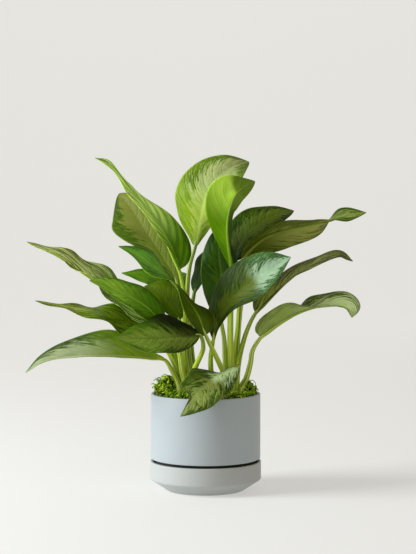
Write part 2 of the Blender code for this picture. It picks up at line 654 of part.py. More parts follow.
def leaf_curve(leaf):
    """The whole smooth line of a leaf, split where its blade starts: (stalk, midrib)."""
    crown_x, crown_y, _ = CROWNS[leaf.crown]
    first = Vector(leaf.stalk[0])
    start = Vector(((crown_x + first.x) / 2, (crown_y + first.y) / 2, STALK_START))
    points = [start] + [Vector(point) for point in leaf.stalk + leaf.rib]
    curve = smooth_curve(points)
    base = CURVE_STEPS * (1 + len(leaf.stalk))
    return curve[:base + 1], curve[base:]


def station(values, share):
    """A value that runs smoothly through the stations' values."""
    count = len(values)
    if count == 1:
        return Vector(values[0])
    place = share * (count - 1)
    index = min(int(place), count - 2)
    t = place - index
    nearby = [min(max(index + step, 0), count - 1) for step in range(-1, 3)]
    before, start, end, after = (Vector(values[number]) for number in nearby)
    return (start * 2 + (end - before) * t + (before * 2 - start * 5 + end * 4 - after) * t * t
            + (start * 3 - before - end * 3 + after) * t ** 3) / 2


def blade_width(leaf, side, share):
    """Width of one half of a blade, from its round base over its widest place to its fine tip."""
    base_power = leaf.taper * leaf.widest / (1 - leaf.widest)
    peak = leaf.widest ** base_power * (1 - leaf.widest) ** leaf.taper
    shape = share ** base_power * (1 - share) ** leaf.taper / peak
    ends = STALK_TIP_RADIUS + (BLADE_THICKNESS / 2 - STALK_TIP_RADIUS) * share
    return ends + (station(leaf.half, share)[side] - ends) * shape


def blade_point(leaf, curve, share, across):
    """A point of the upper side, across running from -1 at the left margin to 1 at the right."""
    point, direction = along(curve, share)
    up = station(leaf.face, share)
    up = (up - direction * up.dot(direction)).normalized()
    right = direction.cross(up)
    side = 1 if across > 0 else 0
    width = blade_width(leaf, side, share)
    fold = math.radians(station(leaf.fold, share)[side])
    curl = math.radians(station(leaf.curl, share)[side])
    reach = abs(across)
    out = rise = 0.0
    for step in range(ARC_STEPS):
        angle = fold + curl * reach * (step + 0.5) / ARC_STEPS
        out += math.cos(angle) * width * reach / ARC_STEPS
        rise += math.sin(angle) * width * reach / ARC_STEPS
    height, count = leaf.wave
    ripple = math.sin(math.tau * (count * share + side * 0.3)) * math.sin(math.pi * share)
    rise += height * ripple * reach * reach
    rise += STALK_TIP_RADIUS * (1 - share) ** 4 * (1 - reach)
    return point + right * math.copysign(out, across) + up * rise


def make_blade(name, leaf, curve):
    """A thin blade, triangulated alike on both sides, with its midrib as a keel below."""
    bm = bmesh.new()
    bmesh.ops.create_grid(bm, x_segments=BLADE_STEPS, y_segments=2 * HALF_STEPS, size=1.0)
    bmesh.ops.triangulate(bm, faces=bm.faces)
    bmesh.ops.reverse_faces(bm, faces=bm.faces)
    group = bm.verts.layers.deform.verify()
    rib_thickness = 2 * STALK_TIP_RADIUS
    for vert in bm.verts:
        share = (vert.co.x + 1) / 2
        across = vert.co.y
        on_rib = abs(across) < 1e-3
        depth = RIB_TIP_THICKNESS + (rib_thickness - RIB_TIP_THICKNESS) * (1 - share) ** 1.5
        vert[group][0] = (depth if on_rib else BLADE_THICKNESS) / rib_thickness
        vert.co = blade_point(leaf, curve, share, across)
    blade = add_object(name, bm, finish(name, leaf.colour, 0.35), sharp_angle=60.0)
    blade.vertex_groups.new(name="thickness")
    wall = blade.modifiers.new("thickness", "SOLIDIFY")
    wall.thickness = rib_thickness
    wall.offset = -1.0
    wall.vertex_group = "thickness"
    return blade


def shorten(curve, length):
    """A curve without a short stretch at its end."""
    total = sum((end - start).length for start, end in zip(curve, curve[1:]))
    return curve[:-1] + [along(curve, 1 - length / total)[0]]


def make_crown(name, material):
    """A crown's short stem and all its leaf stalks, in one solid."""
    x, y, _ = CROWNS[name]
    stem = tube(name, [Vector((x, y, CROWN_FOOT)), Vector((x, y, CROWN_TOP))],
                (CROWN_RADIUS, CROWN_RADIUS * 0.9), CROWN_SIDES, 1)
    stem.data.materials.append(material)
    stalks = []
    for leaf in LEAVES.values():
        if leaf.crown == name:
            curve = shorten(leaf_curve(leaf)[0], BLADE_GAP)
            stalks.append(tube("stalk", curve, (STALK_RADIUS, STALK_TIP_RADIUS), STALK_SIDES, STALK_STEPS))
    fuse(stem, stalks)
    return stem


def main():
    """Build the pot from the table up, and then the plant."""
    clear_scene()
    ceramic = finish("grey ceramic", (0.50, 0.53, 0.55), 0.55)
    make_saucer(ceramic)
    make_pot(ceramic)
    make_soil(finish("soil", (0.045, 0.030, 0.020), 0.95))
    make_moss(finish("moss", (0.14, 0.32, 0.02), 0.90))
    stalk_green = finish("stalk", (0.30, 0.40, 0.06), 0.45)
    for name in CROWNS:
        make_crown(name, stalk_green)
    for name, leaf in LEAVES.items():
        make_blade(name, leaf, leaf_curve(leaf)[1])


if __name__ == "__main__":
    main()
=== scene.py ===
"""The looks of a potted chinese evergreen: variegated leaves, stalks, curly moss and a matte ceramic pot.

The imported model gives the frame: metres, +Z up, the origin in the middle of the saucer's foot, and the
plant's front towards -Y. Each class below builds and dresses the pieces that replace its own nodes.
"""
import logging
import math
import random
from collections.abc import Callable, Sequence
from dataclasses import dataclass, field
from enum import Enum, IntEnum

import bmesh
import bpy
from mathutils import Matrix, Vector, noise


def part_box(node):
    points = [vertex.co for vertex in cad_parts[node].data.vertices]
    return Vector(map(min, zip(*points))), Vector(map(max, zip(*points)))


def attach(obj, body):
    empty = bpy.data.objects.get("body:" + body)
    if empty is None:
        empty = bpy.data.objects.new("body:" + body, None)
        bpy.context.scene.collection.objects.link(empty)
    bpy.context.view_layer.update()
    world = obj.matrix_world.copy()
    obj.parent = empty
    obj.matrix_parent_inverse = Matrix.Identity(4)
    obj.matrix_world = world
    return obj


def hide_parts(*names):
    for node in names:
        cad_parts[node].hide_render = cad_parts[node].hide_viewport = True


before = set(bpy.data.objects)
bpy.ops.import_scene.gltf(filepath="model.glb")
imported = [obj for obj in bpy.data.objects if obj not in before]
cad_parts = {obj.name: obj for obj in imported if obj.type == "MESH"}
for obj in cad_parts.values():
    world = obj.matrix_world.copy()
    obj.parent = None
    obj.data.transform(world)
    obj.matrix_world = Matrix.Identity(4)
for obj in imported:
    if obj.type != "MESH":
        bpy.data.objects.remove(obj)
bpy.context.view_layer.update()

LOG = logging.getLogger("scene")
Socket = bpy.types.NodeSocket
# a colour in linear light, and a display colour of 0 to 255
Colour = tuple[float, float, float]
Display = tuple[int, int, int]
Point = tuple[float, float, float]
Pair = tuple[float, float]
# millimetres in a metre
MM = 1000
# points closer than this are one, in metres
MERGE = 1e-6
# edges above this angle stay sharp
SHARP_ANGLE = math.radians(50.0)


class Crown(Enum):
    """The short stems that the leaf stalks grow from, by the middle of each on the soil."""

    LEFT_FRONT = (-0.027, -0.017)
    LEFT_BACK = (-0.021, 0.021)
    MIDDLE = (0.010, -0.004)
    RIGHT_FRONT = (0.040, -0.014)
    RIGHT_BACK = (0.037, 0.021)

    @property
    def node(self) -> str:
        """Name of the crown's node."""
        return "stalks_" + self.name.lower()


class BladeSide(IntEnum):
    """A blade's material slots."""

    UPPER = 0
    UNDER = 1


def srgb(red: int, green: int, blue: int) -> Colour:
    """Turn a display colour into linear light.

    Args:
        red: Red, from 0 to 255.
        green: Green, from 0 to 255.
        blue: Blue, from 0 to 255.

    Returns:
        The same colour in linear light, from 0 to 1.
    """
    def linear(value: int) -> float:
        """One channel in linear light."""
        share = value / 255
        return share / 12.92 if share < 0.04045 else ((share + 0.055) / 1.055) ** 2.4

    return linear(red), linear(green), linear(blue)


class Recipe:
    """A material's node tree, put together with short calls."""

    def __init__(self, name: str, roughness: float, specular: float) -> None:
        """Start a material.

        Args:
            name: The material's name.
            roughness: The shader's roughness where nothing is wired to it.
            specular: The shader's specular level.
        """
        self.material = bpy.data.materials.new(name)
        self.material.use_nodes = True
        self.tree = self.material.node_tree
        self.shader = self.tree.nodes["Principled BSDF"]
        self.shader.inputs["Roughness"].default_value = roughness
        self.shader.inputs["Specular IOR Level"].default_value = specular

    def add(self, kind: str, **inputs: object) -> bpy.types.Node:
        """Add a node and set or wire its inputs.

        Args:
            kind: The node's type without its ShaderNode prefix.
            **inputs: Values or sockets for the inputs of those names, with _ for a space.

        Returns:
            The new node.
        """
        node = self.tree.nodes.new("ShaderNode" + kind)
        for name, value in inputs.items():
            self.plug(node.inputs[name.replace("_", " ")], value)
        return node

    def plug(self, socket: Socket, value: object) -> None:
        """Wire a socket to another, or set it to a value."""
        if isinstance(value, Socket):
            self.tree.links.new(value, socket)
        elif isinstance(value, tuple) and socket.type == "RGBA":
            socket.default_value = (*value, 1.0)
        else:
            socket.default_value = value

    def math(self, operation: str, first: object, second: object = 0.0, third: object = 0.0) -> Socket:
        """Do a sum on values or sockets.

        Args:
            operation: Name of the operation, such as MULTIPLY.
            first: First value.
            second: Second value.
            third: Third value, where the operation takes one.

        Returns:
            The socket with the result.
        """
        node = self.tree.nodes.new("ShaderNodeMath")
        node.operation = operation
        for socket, value in zip(node.inputs, (first, second, third)):
            self.plug(socket, value)
        return node.outputs[0]

    def ramp(self, value: object, low: float, high: float) -> Socket:
        """Turn a value into 0 below low and 1 above high, smoothly in between."""
        node = self.tree.nodes.new("ShaderNodeMapRange")
        node.interpolation_type = "SMOOTHSTEP"
        for name, given in (("Value", value), ("From Min", low), ("From Max", high)):
            self.plug(node.inputs[name], given)
        return node.outputs["Result"]

    def times(self, first: object, second: object) -> Socket:
        """One value times another."""
        return self.math("MULTIPLY", first, second)

    def scaled(self, value: object, factor: object, offset: object) -> Socket:
        """A value times a factor, plus an offset."""
        return self.math("MULTIPLY_ADD", value, factor, offset)

    def less(self, first: object, second: object) -> Socket:
        """One value less another."""
        return self.math("SUBTRACT", first, second)

    def rest(self, value: object) -> Socket:
        """What a value leaves of 1."""
        return self.less(1.0, value)

    def mix(self, share: object, first: object, second: object, strength: float = 1.0,
            blend: str = "MIX") -> Socket:
        """Mix two colours.

        Args:
            share: How much of the second colour shows.
            first: First colour.
            second: Second colour.
            strength: A factor on the share.
            blend: The way that they mix.

        Returns:
            The socket with the mixed colour.
        """
        node = self.tree.nodes.new("ShaderNodeMix")
        node.data_type = "RGBA"
        node.blend_type = blend
        if strength != 1.0:
            share = self.times(share, strength)
        for place, value in (("Factor", share), (6, first), (7, second)):
            self.plug(node.inputs[place], value)
        return node.outputs[2]

    def tinted(self, colour: object, tint: Colour) -> Socket:
        """A colour times a tint."""
        return self.mix(1.0, colour, tint, blend="MULTIPLY")

    def vector(self, across: object, along: object, depth: object) -> Socket:
        """Combine three values into a vector."""
        return self.add("CombineXYZ", X=across, Y=along, Z=depth).outputs[0]

    def parts(self, attribute: str) -> tuple[Socket, ...]:
        """The three values of a vector attribute."""
        node = self.tree.nodes.new("ShaderNodeAttribute")
        node.attribute_name = attribute
        split = self.add("SeparateXYZ", Vector=node.outputs["Vector"])
        return tuple(split.outputs)

    def place(self) -> Socket:
        """The point in the object's own coordinates, in metres."""
        return self.tree.nodes.new("ShaderNodeTexCoord").outputs["Object"]

    def noise(self, vector: object, scale: float, detail: float, roughness: float = 0.5) -> Socket:
        """A cloudy value from 0 to 1.

        Args:
            vector: Where it is read.
            scale: How many clouds lie along one unit.
            detail: How many finer layers it has.
            roughness: How strong the finer layers are.

        Returns:
            The socket with the value.
        """
        node = self.add("TexNoise", Vector=vector, Scale=scale, Detail=detail, Roughness=roughness)
        return node.outputs[0]

    def relief(self, height: object, depth: float) -> None:
        """Raise the surface by a height of 0 to 1, which stands for a depth in metres."""
        bump = self.add("Bump", Height=height, Distance=depth)
        self.plug(self.shader.inputs["Normal"], bump.outputs[0])

    def finish(self, colour: object, roughness: object = None) -> bpy.types.Material:
        """Wire the colour and the roughness, and hand over the material."""
        self.plug(self.shader.inputs["Base Color"], colour)
        if roughness is not None:
            self.plug(self.shader.inputs["Roughness"], roughness)
        return self.material


@dataclass(frozen=True)
class Glaze:
    """Smooth matte ceramic with faint clouds and fine specks."""

    name: str
    colour: Colour = srgb(170, 178, 182)
    shade: Colour = srgb(163, 171, 176)
    speck: Colour = srgb(132, 138, 142)
    roughness: float = 0.52

    def material(self) -> bpy.types.Material:
        """Make the material."""
        recipe = Recipe(self.name, self.roughness, 0.45)
        place = recipe.place()
        cloud = recipe.noise(place, 18.0, 3.0)
        grain = recipe.noise(place, 900.0, 2.0)
        specks = recipe.ramp(recipe.noise(place, 420.0, 1.0), 0.70, 0.78)
        body = recipe.mix(cloud, self.colour, self.shade)
        body = recipe.mix(specks, body, self.speck, 0.35)
        rough = recipe.scaled(cloud, 0.14, self.roughness - 0.07)
        recipe.relief(recipe.scaled(grain, 0.3, cloud), 0.00025)
        return recipe.finish(body, rough)


@dataclass(frozen=True)
class GapShade:
    """Painted shade: a near-black clay colour for the faces in the gap between the pot and its saucer, and
    inside the saucer's wall, where shade falls.
    """

    dark: Colour = srgb(42, 43, 43)
    light: Colour = srgb(76, 76, 73)

    def material(self) -> bpy.types.Material:
        """Make the material."""
        recipe = Recipe("painted_gap_shade", 0.9, 0.2)
        grain = recipe.noise(recipe.place(), 260.0, 4.0, 0.6)
        recipe.relief(grain, 0.0004)
        return recipe.finish(recipe.mix(grain, self.dark, self.light))


@dataclass(frozen=True)
class Earth:
    """Dark crumbly potting soil."""

    dark: Colour = srgb(34, 25, 18)
    light: Colour = srgb(84, 64, 44)

    def material(self) -> bpy.types.Material:
        """Make the material."""
        recipe = Recipe("potting_soil", 0.95, 0.2)
        crumbs = recipe.noise(recipe.place(), 380.0, 4.0, 0.65)
        recipe.relief(crumbs, 0.002)
        return recipe.finish(recipe.mix(recipe.ramp(crumbs, 0.45, 0.75), self.dark, self.light))


@dataclass(frozen=True)
class MossFinish:
    """Springy moss with painted shade and light: dark deep down in the bed and near each strand's root,
    green higher up, and bright and slightly yellow in patches towards its curled ends.
    """

    # deep is the painted shade low in the bed and near each strand's root; it also darkens some strands at
    # random
    deep: Colour = srgb(18, 32, 3)
    green: Colour = srgb(142, 186, 10)
    bright: Colour = srgb(236, 246, 84)

    def material(self) -> bpy.types.Material:
        """Make the material. It reads each strand's attribute: share of its length, its own draw, depth.
        Share and height paint shade: darker near each strand's root and low in the bed.
        """
        recipe = Recipe("moss", 0.75, 0.3)
        share, draw, rise = recipe.parts("strand")
        patches = recipe.noise(recipe.place(), 45.0, 3.0)
        # painted shade and light: darker near each strand's root and low in the bed, lighter towards its
        # end and high up
        lift = recipe.scaled(share, 0.62, recipe.times(rise, 0.68))
        body = recipe.mix(recipe.ramp(lift, 0.15, 0.7), self.deep, self.green)
        body = recipe.mix(recipe.ramp(draw, 0.35, 0.05), body, self.deep)
        tint = recipe.times(recipe.ramp(draw, 0.45, 0.95), recipe.ramp(patches, 0.35, 0.6))
        body = recipe.mix(recipe.times(tint, recipe.ramp(lift, 0.3, 0.7)), body, self.bright)
        recipe.relief(recipe.noise(recipe.place(), 1500.0, 2.0), 0.0004)
        return recipe.finish(body)


@dataclass(frozen=True)
class StalkFinish:
    """Smooth fleshy stalk with a paler foot, and painted light and shade in streaks along it: pale
    highlights and darker green shade.
    """

    foot: Colour = srgb(226, 232, 150)
    body: Colour = srgb(180, 204, 50)
    shade_streak: Colour = srgb(96, 120, 10)

    def material(self) -> bpy.types.Material:
        """Make the material. It reads the tube's attributes: (share, angle, draw) and its own tint."""
        recipe = Recipe("stalk", 0.38, 0.25)
        share, angle, draw = recipe.parts("tube")
        tint = recipe.tree.nodes.new("ShaderNodeAttribute")
        tint.attribute_name = "tint"
        ribs = recipe.noise(recipe.vector(recipe.times(angle, 3.0), share, draw), 1.0, 3.0)
        cloud = recipe.noise(recipe.place(), 60.0, 3.0)
        body = recipe.mix(recipe.ramp(share, 0.25, 0.6), self.body, tint.outputs["Color"])
        # painted shade and highlights: darker streaks along the stalk stand for shade, pale streaks in the
        # foot's colour for highlights
        body = recipe.mix(recipe.ramp(ribs, 0.46, 0.57), body, self.shade_streak)
        pale = recipe.rest(recipe.ramp(ribs, 0.30, 0.44))
        body = recipe.mix(pale, body, self.foot, 0.85)
        body = recipe.mix(cloud, body, self.body, 0.3)
        foot = recipe.rest(recipe.ramp(share, 0.02, 0.16))
        body = recipe.mix(foot, body, self.foot, 0.7)
        recipe.relief(ribs, 0.0006)
        return recipe.finish(body, recipe.scaled(cloud, 0.2, 0.28))


@dataclass(frozen=True)
class LeafFinish:
    """The colours of one leaf and the way that its pale middle meets its green margin.

    The pale middle reaches outwards from the midrib and ends in feathered streaks that follow the side
    veins. A pair of colours runs from its first near the stalk to its second near the tip.
    """

    margin: tuple[Display, Display]
    pale: tuple[Display, Display]
    under: tuple[Display, Display] = ((98, 112, 46), (116, 134, 70))
    rib: Display = (150, 172, 92)
    # share of the length where the first colours give way to the second
    turn: Pair = (0.25, 0.75)
    # length of the streaks, and how strong the flecks, the midrib's line and the side veins are
    feather: float = 0.34
    flecks: float = 0.7
    middle: float = 0.15
    lines: float = 0.06
    # how much lighter the painted highlight makes the leaf where it swells between its side veins, and how
    # mottled its middle is
    swell_highlight: float = 0.0
    mottle: float = 0.5
    # number of side veins, and how far they lean towards the tip, as a share of the blade's length
    veins: float = 10.0
    lean: float = 0.24
    # how much light the leaf gives back beside its listed colours
    lift: float = 1.5
    # how deep the left half, the right half, the base and the tip lie in shade, and where the tip's starts
    shade: tuple[float, float, float, float] = (0.0, 0.0, 0.0, 0.0)
    shade_from: float = 0.80
    # how much further the base's shade runs along the right half than along the left
    slant: float = 0.0

    ROUGHNESS = 0.40
    # the power of the way out by which the side veins curve
    VEIN_CURVE = 1.3

    def upper(self, name: str, seed: float) -> bpy.types.Material:
        """Make the material of the upper side.

        Args:
            name: The material's name.
            seed: Where this leaf reads its noise, so that no two leaves are alike.

        Returns:
            The material.
        """
        recipe = Recipe(name, self.ROUGHNESS, 0.09)
        ground = BladeGround(recipe, self, seed, 3.0)
        finest = ground.streaks(5.0)
        margin = ground.run(self.margin)
        pale = ground.run(self.pale)
        margin = recipe.mix(recipe.ramp(finest, 0.62, 0.9), margin, pale, 0.5)
        dull = recipe.tinted(pale, (0.62, 0.74, 0.55))
        pale = recipe.mix(recipe.ramp(ground.fine, 0.3, 0.95), pale, dull, self.mottle)
        near = recipe.scaled(ground.fine, 0.5, recipe.times(finest, 0.5))
        near = recipe.scaled(ground.edge, -1.2, near)
        fleck = recipe.times(recipe.ramp(near, 0.50, 0.66), self.flecks)
        inner = recipe.times(recipe.ramp(ground.edge, -0.03, 0.05), recipe.rest(fleck))
        body = recipe.mix(inner, margin, pale)
        # painted highlight on the swellings between the side veins
        if self.swell_highlight:
            crest_highlight = recipe.times(recipe.ramp(ground.wave, 0.3, 0.95), recipe.ramp(ground.out, 0.1, 0.35))
            body = recipe.mix(crest_highlight, body, recipe.tinted(body, (1.9, 1.7, 1.9)), self.swell_highlight)
        # painted highlight: a thin light line along the margin, in the midrib's colour
        rim = recipe.ramp(ground.out, 0.95, 0.985)
        for place, strength in ((ground.line, self.lines), (ground.middle, self.middle), (rim, 0.35)):
            body = recipe.mix(place, body, srgb(*self.rib), strength)
        recipe.relief(recipe.scaled(ground.line, -0.4, recipe.times(ground.fine, 0.3)), 0.0006)
        return recipe.finish(ground.shaded(body), recipe.scaled(ground.broad, 0.2, self.ROUGHNESS - 0.08))

    def below(self, name: str, seed: float) -> bpy.types.Material:
        """Make the material of the underside, duller than the upper side.

        Args:
            name: The material's name.
            seed: Where this leaf reads its noise.

        Returns:
            The material.
        """
        recipe = Recipe(name, self.ROUGHNESS + 0.10, 0.07)
        ground = BladeGround(recipe, self, seed, 0.0)
        under = ground.run(self.under)
        green = recipe.mix(0.7, under, ground.run(self.margin))
        body = recipe.mix(recipe.ramp(ground.edge, -0.06, 0.06), green, under)
        for place, strength in ((ground.line, self.lines), (ground.middle, 0.4)):
            body = recipe.mix(place, body, srgb(*self.rib), strength)
        recipe.relief(recipe.scaled(ground.line, 0.3, recipe.times(ground.fine, 0.25)), 0.0005)
        return recipe.finish(ground.shaded(body))


class BladeGround:
    """What the materials of both sides of a blade read: where a point lies, and its clouds and streaks."""

    def __init__(self, recipe: Recipe, finish: LeafFinish, seed: float, apart: float) -> None:
        """Wire up the values.

        Args:
            recipe: The material.
            finish: The leaf's finish.
            seed: Where this leaf reads its noise.
            apart: How far from each other the two halves read their streaks.
        """
        self.recipe = recipe
        self.finish = finish
        # across runs from -1 at the left margin to 1 at the right, share from 0 at the base to 1 at the tip
        self.across, self.share, reach = recipe.parts("blade")
        self.out = recipe.math("ABSOLUTE", self.across)
        self.side = recipe.scaled(recipe.math("SIGN", self.across), apart, seed)
        # the number of the side vein that a point lies on, and its way from there to the field beside it
        bend = recipe.times(recipe.math("POWER", self.out, finish.VEIN_CURVE), finish.lean)
        self.count = recipe.times(recipe.less(self.share, bend), finish.veins)
        self.wave = recipe.math("ABSOLUTE", recipe.math("SINE", recipe.times(self.count, math.pi)))
        self.broad = self.streaks(1.0)
        self.fine = self.streaks(2.4)
        spot = recipe.vector(recipe.times(self.across, 1.6), recipe.times(self.share, 4.0), seed)
        self.cloud = recipe.noise(spot, 1.0, 3.0)
        first, last = finish.turn
        self.turn = recipe.ramp(recipe.scaled(self.cloud, 0.24, self.share), first + 0.12, last + 0.12)
        # how far inside the pale middle a point lies, with the margin's streaks worked in
        self.edge = recipe.less(reach, self.out)
        for streaks in (self.broad, self.fine):
            self.edge = recipe.scaled(recipe.less(streaks, 0.5), finish.feather * 0.8, self.edge)
        self.line = recipe.rest(recipe.ramp(self.wave, 0.0, 0.30))
        self.middle = recipe.rest(recipe.ramp(self.out, 0.02, 0.08))

    def streaks(self, finer: float) -> Socket:
        """Cloudy streaks that follow the side veins, a number of times finer than the broadest ones."""
        recipe = self.recipe
        spot = recipe.vector(recipe.times(self.count, 2.6 * finer),
                             recipe.times(self.out, 2.4 * math.sqrt(finer)), self.side)
        return recipe.ramp(recipe.noise(spot, 1.0, 3.0, 0.6), 0.33, 0.67)

    def run(self, pair: tuple[Display, Display]) -> Socket:
        """A colour that runs from the first of a pair near the stalk to the second near the tip."""
        first, second = pair
        return self.recipe.mix(self.turn, srgb(*first), srgb(*second))

    def shaded(self, body: object) -> Socket:
        """Bring a colour to the leaf's own brightness, and darken it in clouds and in the leaf's shade.

        Args:
            body: The colour.

        Returns:
            The socket with the final colour.
        """
        recipe = self.recipe
        finish = self.finish
        bright = recipe.tinted(body, (finish.lift, finish.lift, finish.lift * 0.42))
        right = recipe.ramp(self.across, -0.03, 0.03)
        near = recipe.scaled(self.across, -finish.slant, self.share)
        base = recipe.rest(recipe.ramp(near, 0.05, 0.45))
        far = recipe.scaled(self.out, -0.1, self.share)
        tip = recipe.ramp(far, finish.shade_from, finish.shade_from + 0.06)
        dark = recipe.times(recipe.ramp(self.cloud, 0.4, 0.75), 0.38)
        for place, strength in zip((recipe.rest(right), right, base, tip), finish.shade):
            if strength:
                dark = recipe.math("MAXIMUM", dark, recipe.times(place, strength))
        return recipe.mix(dark, bright, recipe.tinted(bright, (0.15, 0.15, 0.08)))


def mesh_object(name: str, bm: bmesh.types.BMesh, materials: list[bpy.types.Material]) -> bpy.types.Object:
    """Turn a bmesh into a smooth-shaded object at the origin.

    Args:
        name: The object's name.
        bm: The shape. It is freed.
        materials: The materials of its slots.

    Returns:
        The object.
    """
    mesh = bpy.data.meshes.new(name)
    bm.to_mesh(mesh)
    bm.free()
    mesh.shade_smooth()
    mesh.set_sharp_from_angle(angle=SHARP_ANGLE)
    for material in materials:
        mesh.materials.append(material)
    thing = bpy.data.objects.new(name, mesh)
    bpy.context.scene.collection.objects.link(thing)
    return thing


def place_piece(piece: bpy.types.Object, node: str) -> None:
    """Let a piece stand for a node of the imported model.

    Args:
        piece: The finished piece.
        node: The node that it replaces.
    """
    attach(piece, "root")
    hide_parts(node)
    LOG.info("%s stands for %s with %d faces", piece.name, node, len(piece.data.polygons))


class Curve:
    """A smooth curve through a few points, read by its share of the length."""

    STEPS = 12

    def __init__(self, points: list[Vector]) -> None:
        """Work out the curve.

        Args:
            points: The points that it passes.
        """
        knots = [0.0]
        for start, end in zip(points, points[1:]):
            knots.append(knots[-1] + math.sqrt((end - start).length))
        slopes = [(points[1] - points[0]) / knots[1]]
        for index in range(1, len(points) - 1):
            before = knots[index] - knots[index - 1]
            ahead = knots[index + 1] - knots[index]
            back = (points[index] - points[index - 1]) / before
            forth = (points[index + 1] - points[index]) / ahead
            slopes.append((back * ahead + forth * before) / (before + ahead))
        slopes.append((points[-1] - points[-2]) / (knots[-1] - knots[-2]))
        self.points = []
        for index, (start, end) in enumerate(zip(points, points[1:])):
            span = knots[index + 1] - knots[index]
            for step in range(self.STEPS):
                t = step / self.STEPS
                self.points.append(start * (1 + 2 * t) * (1 - t) ** 2 + end * t * t * (3 - 2 * t)
                                   + slopes[index] * span * t * (1 - t) ** 2
                                   + slopes[index + 1] * span * t * t * (t - 1))
        self.points.append(points[-1])
        self.measure()

    def measure(self) -> None:
        """Work out the length from the start to each point."""
        self.lengths = [0.0]
        for start, end in zip(self.points, self.points[1:]):
            self.lengths.append(self.lengths[-1] + (end - start).length)

    def part(self, first: int, last: int) -> "Curve":
        """The stretch between two of the curve's own points."""
        stretch = Curve.__new__(Curve)
        stretch.points = self.points[first:last + 1]
        stretch.measure()
        return stretch

    @property
    def length(self) -> float:
        """The whole length, in metres."""
        return self.lengths[-1]

    def at(self, share: float) -> tuple[Vector, Vector]:
        """The point and the direction at a share of the length.

        Args:
            share: From 0 at the start to 1 at the end.

        Returns:
            The point, and the unit direction there, blended between the stretches on both sides.
        """
        wanted = min(max(share, 0.0), 1.0) * self.length
        index = 0
        while index < len(self.points) - 2 and self.lengths[index + 1] < wanted:
            index += 1
        gap = self.lengths[index + 1] - self.lengths[index]
        t = (wanted - self.lengths[index]) / gap
        point = self.points[index].lerp(self.points[index + 1], t)
        before = self.points[max(index - 1, 0)]
        after = self.points[min(index + 2, len(self.points) - 1)]
        middle = (self.points[index + 1] - self.points[index]).normalized()
        side = (self.points[index] - before if t < 0.5 else after - self.points[index + 1])
        if side.length < 1e-9:
            return point, middle
        return point, middle.lerp(side.normalized(), abs(t - 0.5)).normalized()


def metres(listed: tuple[float, ...]) -> tuple[float, ...]:
    """Turn lengths in millimetres into metres."""
    return tuple(length / MM for length in listed)


def through(stations: Sequence[tuple[float, ...]], share: float) -> Vector:
    """A value that runs smoothly through evenly spaced stations.

    Args:
        stations: The values, as tuples of the same size.
        share: From 0 at the first station to 1 at the last.

    Returns:
        The value as a vector.
    """
    count = len(stations)
    if count == 1:
        return Vector(stations[0])
    place = share * (count - 1)
    index = min(int(place), count - 2)
    t = place - index
    near = [Vector(stations[min(max(index + step, 0), count - 1)]) for step in range(-1, 3)]
    before, start, end, after = near
    return (start * 2 + (end - before) * t + (before * 2 - start * 5 + end * 4 - after) * t * t
            + (start * 3 - before - end * 3 + after) * t ** 3) / 2


def unmoved(share: float) -> Vector:
    """No shift at any share of a tube's length."""
    return Vector()


def close_tube(bm: bmesh.types.BMesh) -> None:
    """Join a rolled-up grid along its seam, and fill its two ends."""
    bmesh.ops.remove_doubles(bm, verts=bm.verts, dist=MERGE)
    bmesh.ops.holes_fill(bm, edges=[edge for edge in bm.edges if edge.is_boundary])


def tube_mesh(curve: Curve, radius: Callable[[float], float], shift: Callable[[float], Vector],
              sides: int, steps: int, draw: float, tint: Colour) -> bmesh.types.BMesh:
    """A closed round tube along a curve, with its attributes for the shader.

    Args:
        curve: The line that it follows.
        radius: Gives the radius at a share of the length.
        shift: Gives how far the middle is moved off the curve at a share of the length.
        sides: Number of sides.
        steps: Number of rings along it.
        draw: A number that is this tube's own.
        tint: The tube's colour.

    Returns:
        The tube, with the attributes "tube" and "tint".
    """
    bm = bmesh.new()
    bmesh.ops.create_grid(bm, x_segments=steps, y_segments=sides, size=1.0)
    place = bm.verts.layers.float_vector.new("tube")
    colour = bm.verts.layers.float_color.new("tint")
    last = curve.at(0.0)[1]
    turn = Vector((0, 0, 1)).rotation_difference(last)
    rings = []
    for step in range(steps + 1):
        share = step / steps
        point, direction = curve.at(share)
        turn = last.rotation_difference(direction) @ turn
        last = direction
        rings.append((point + shift(share), turn.copy(), radius(share)))
    for vert in bm.verts:
        step = round((vert.co.x + 1) / 2 * steps)
        angle = (vert.co.y + 1) * math.pi
        middle, ring_turn, size = rings[step]
        vert[place] = (step / steps, abs(angle - math.pi), draw)
        vert[colour] = (*tint, 1.0)
        vert.co = middle + ring_turn @ Vector((math.cos(angle) * size, math.sin(angle) * size, 0.0))
    close_tube(bm)
    bmesh.ops.recalc_face_normals(bm, faces=bm.faces)
    return bm


def turned(outline: list[Pair], closed: bool, sides: int) -> bmesh.types.BMesh:
    """Turn an outline of (radius, height) points about the Z axis.

    Args:
        outline: The points.
        closed: Whether the last point joins the first, as on a ring.
        sides: Number of sides.

    Returns:
        The closed shape.
    """
    bm = bmesh.new()
    verts = [bm.verts.new((radius, 0.0, height)) for radius, height in outline]
    edges = [bm.edges.new(pair) for pair in zip(verts, verts[1:])]
    if closed:
        edges.append(bm.edges.new((verts[-1], verts[0])))
    bmesh.ops.spin(bm, geom=verts + edges, cent=(0, 0, 0), axis=(0, 0, 1), angle=math.tau,
                   steps=sides, use_merge=True)
    bmesh.ops.remove_doubles(bm, verts=bm.verts, dist=MERGE)
    bmesh.ops.recalc_face_normals(bm, faces=bm.faces)
    return bm


def join_into(target: bmesh.types.BMesh, piece: bmesh.types.BMesh) -> None:
    """Add one shape to another, by way of a mesh that is then removed."""
    carrier = bpy.data.meshes.new("carrier")
    piece.to_mesh(carrier)
    piece.free()
    target.from_mesh(carrier)
    bpy.data.meshes.remove(carrier)


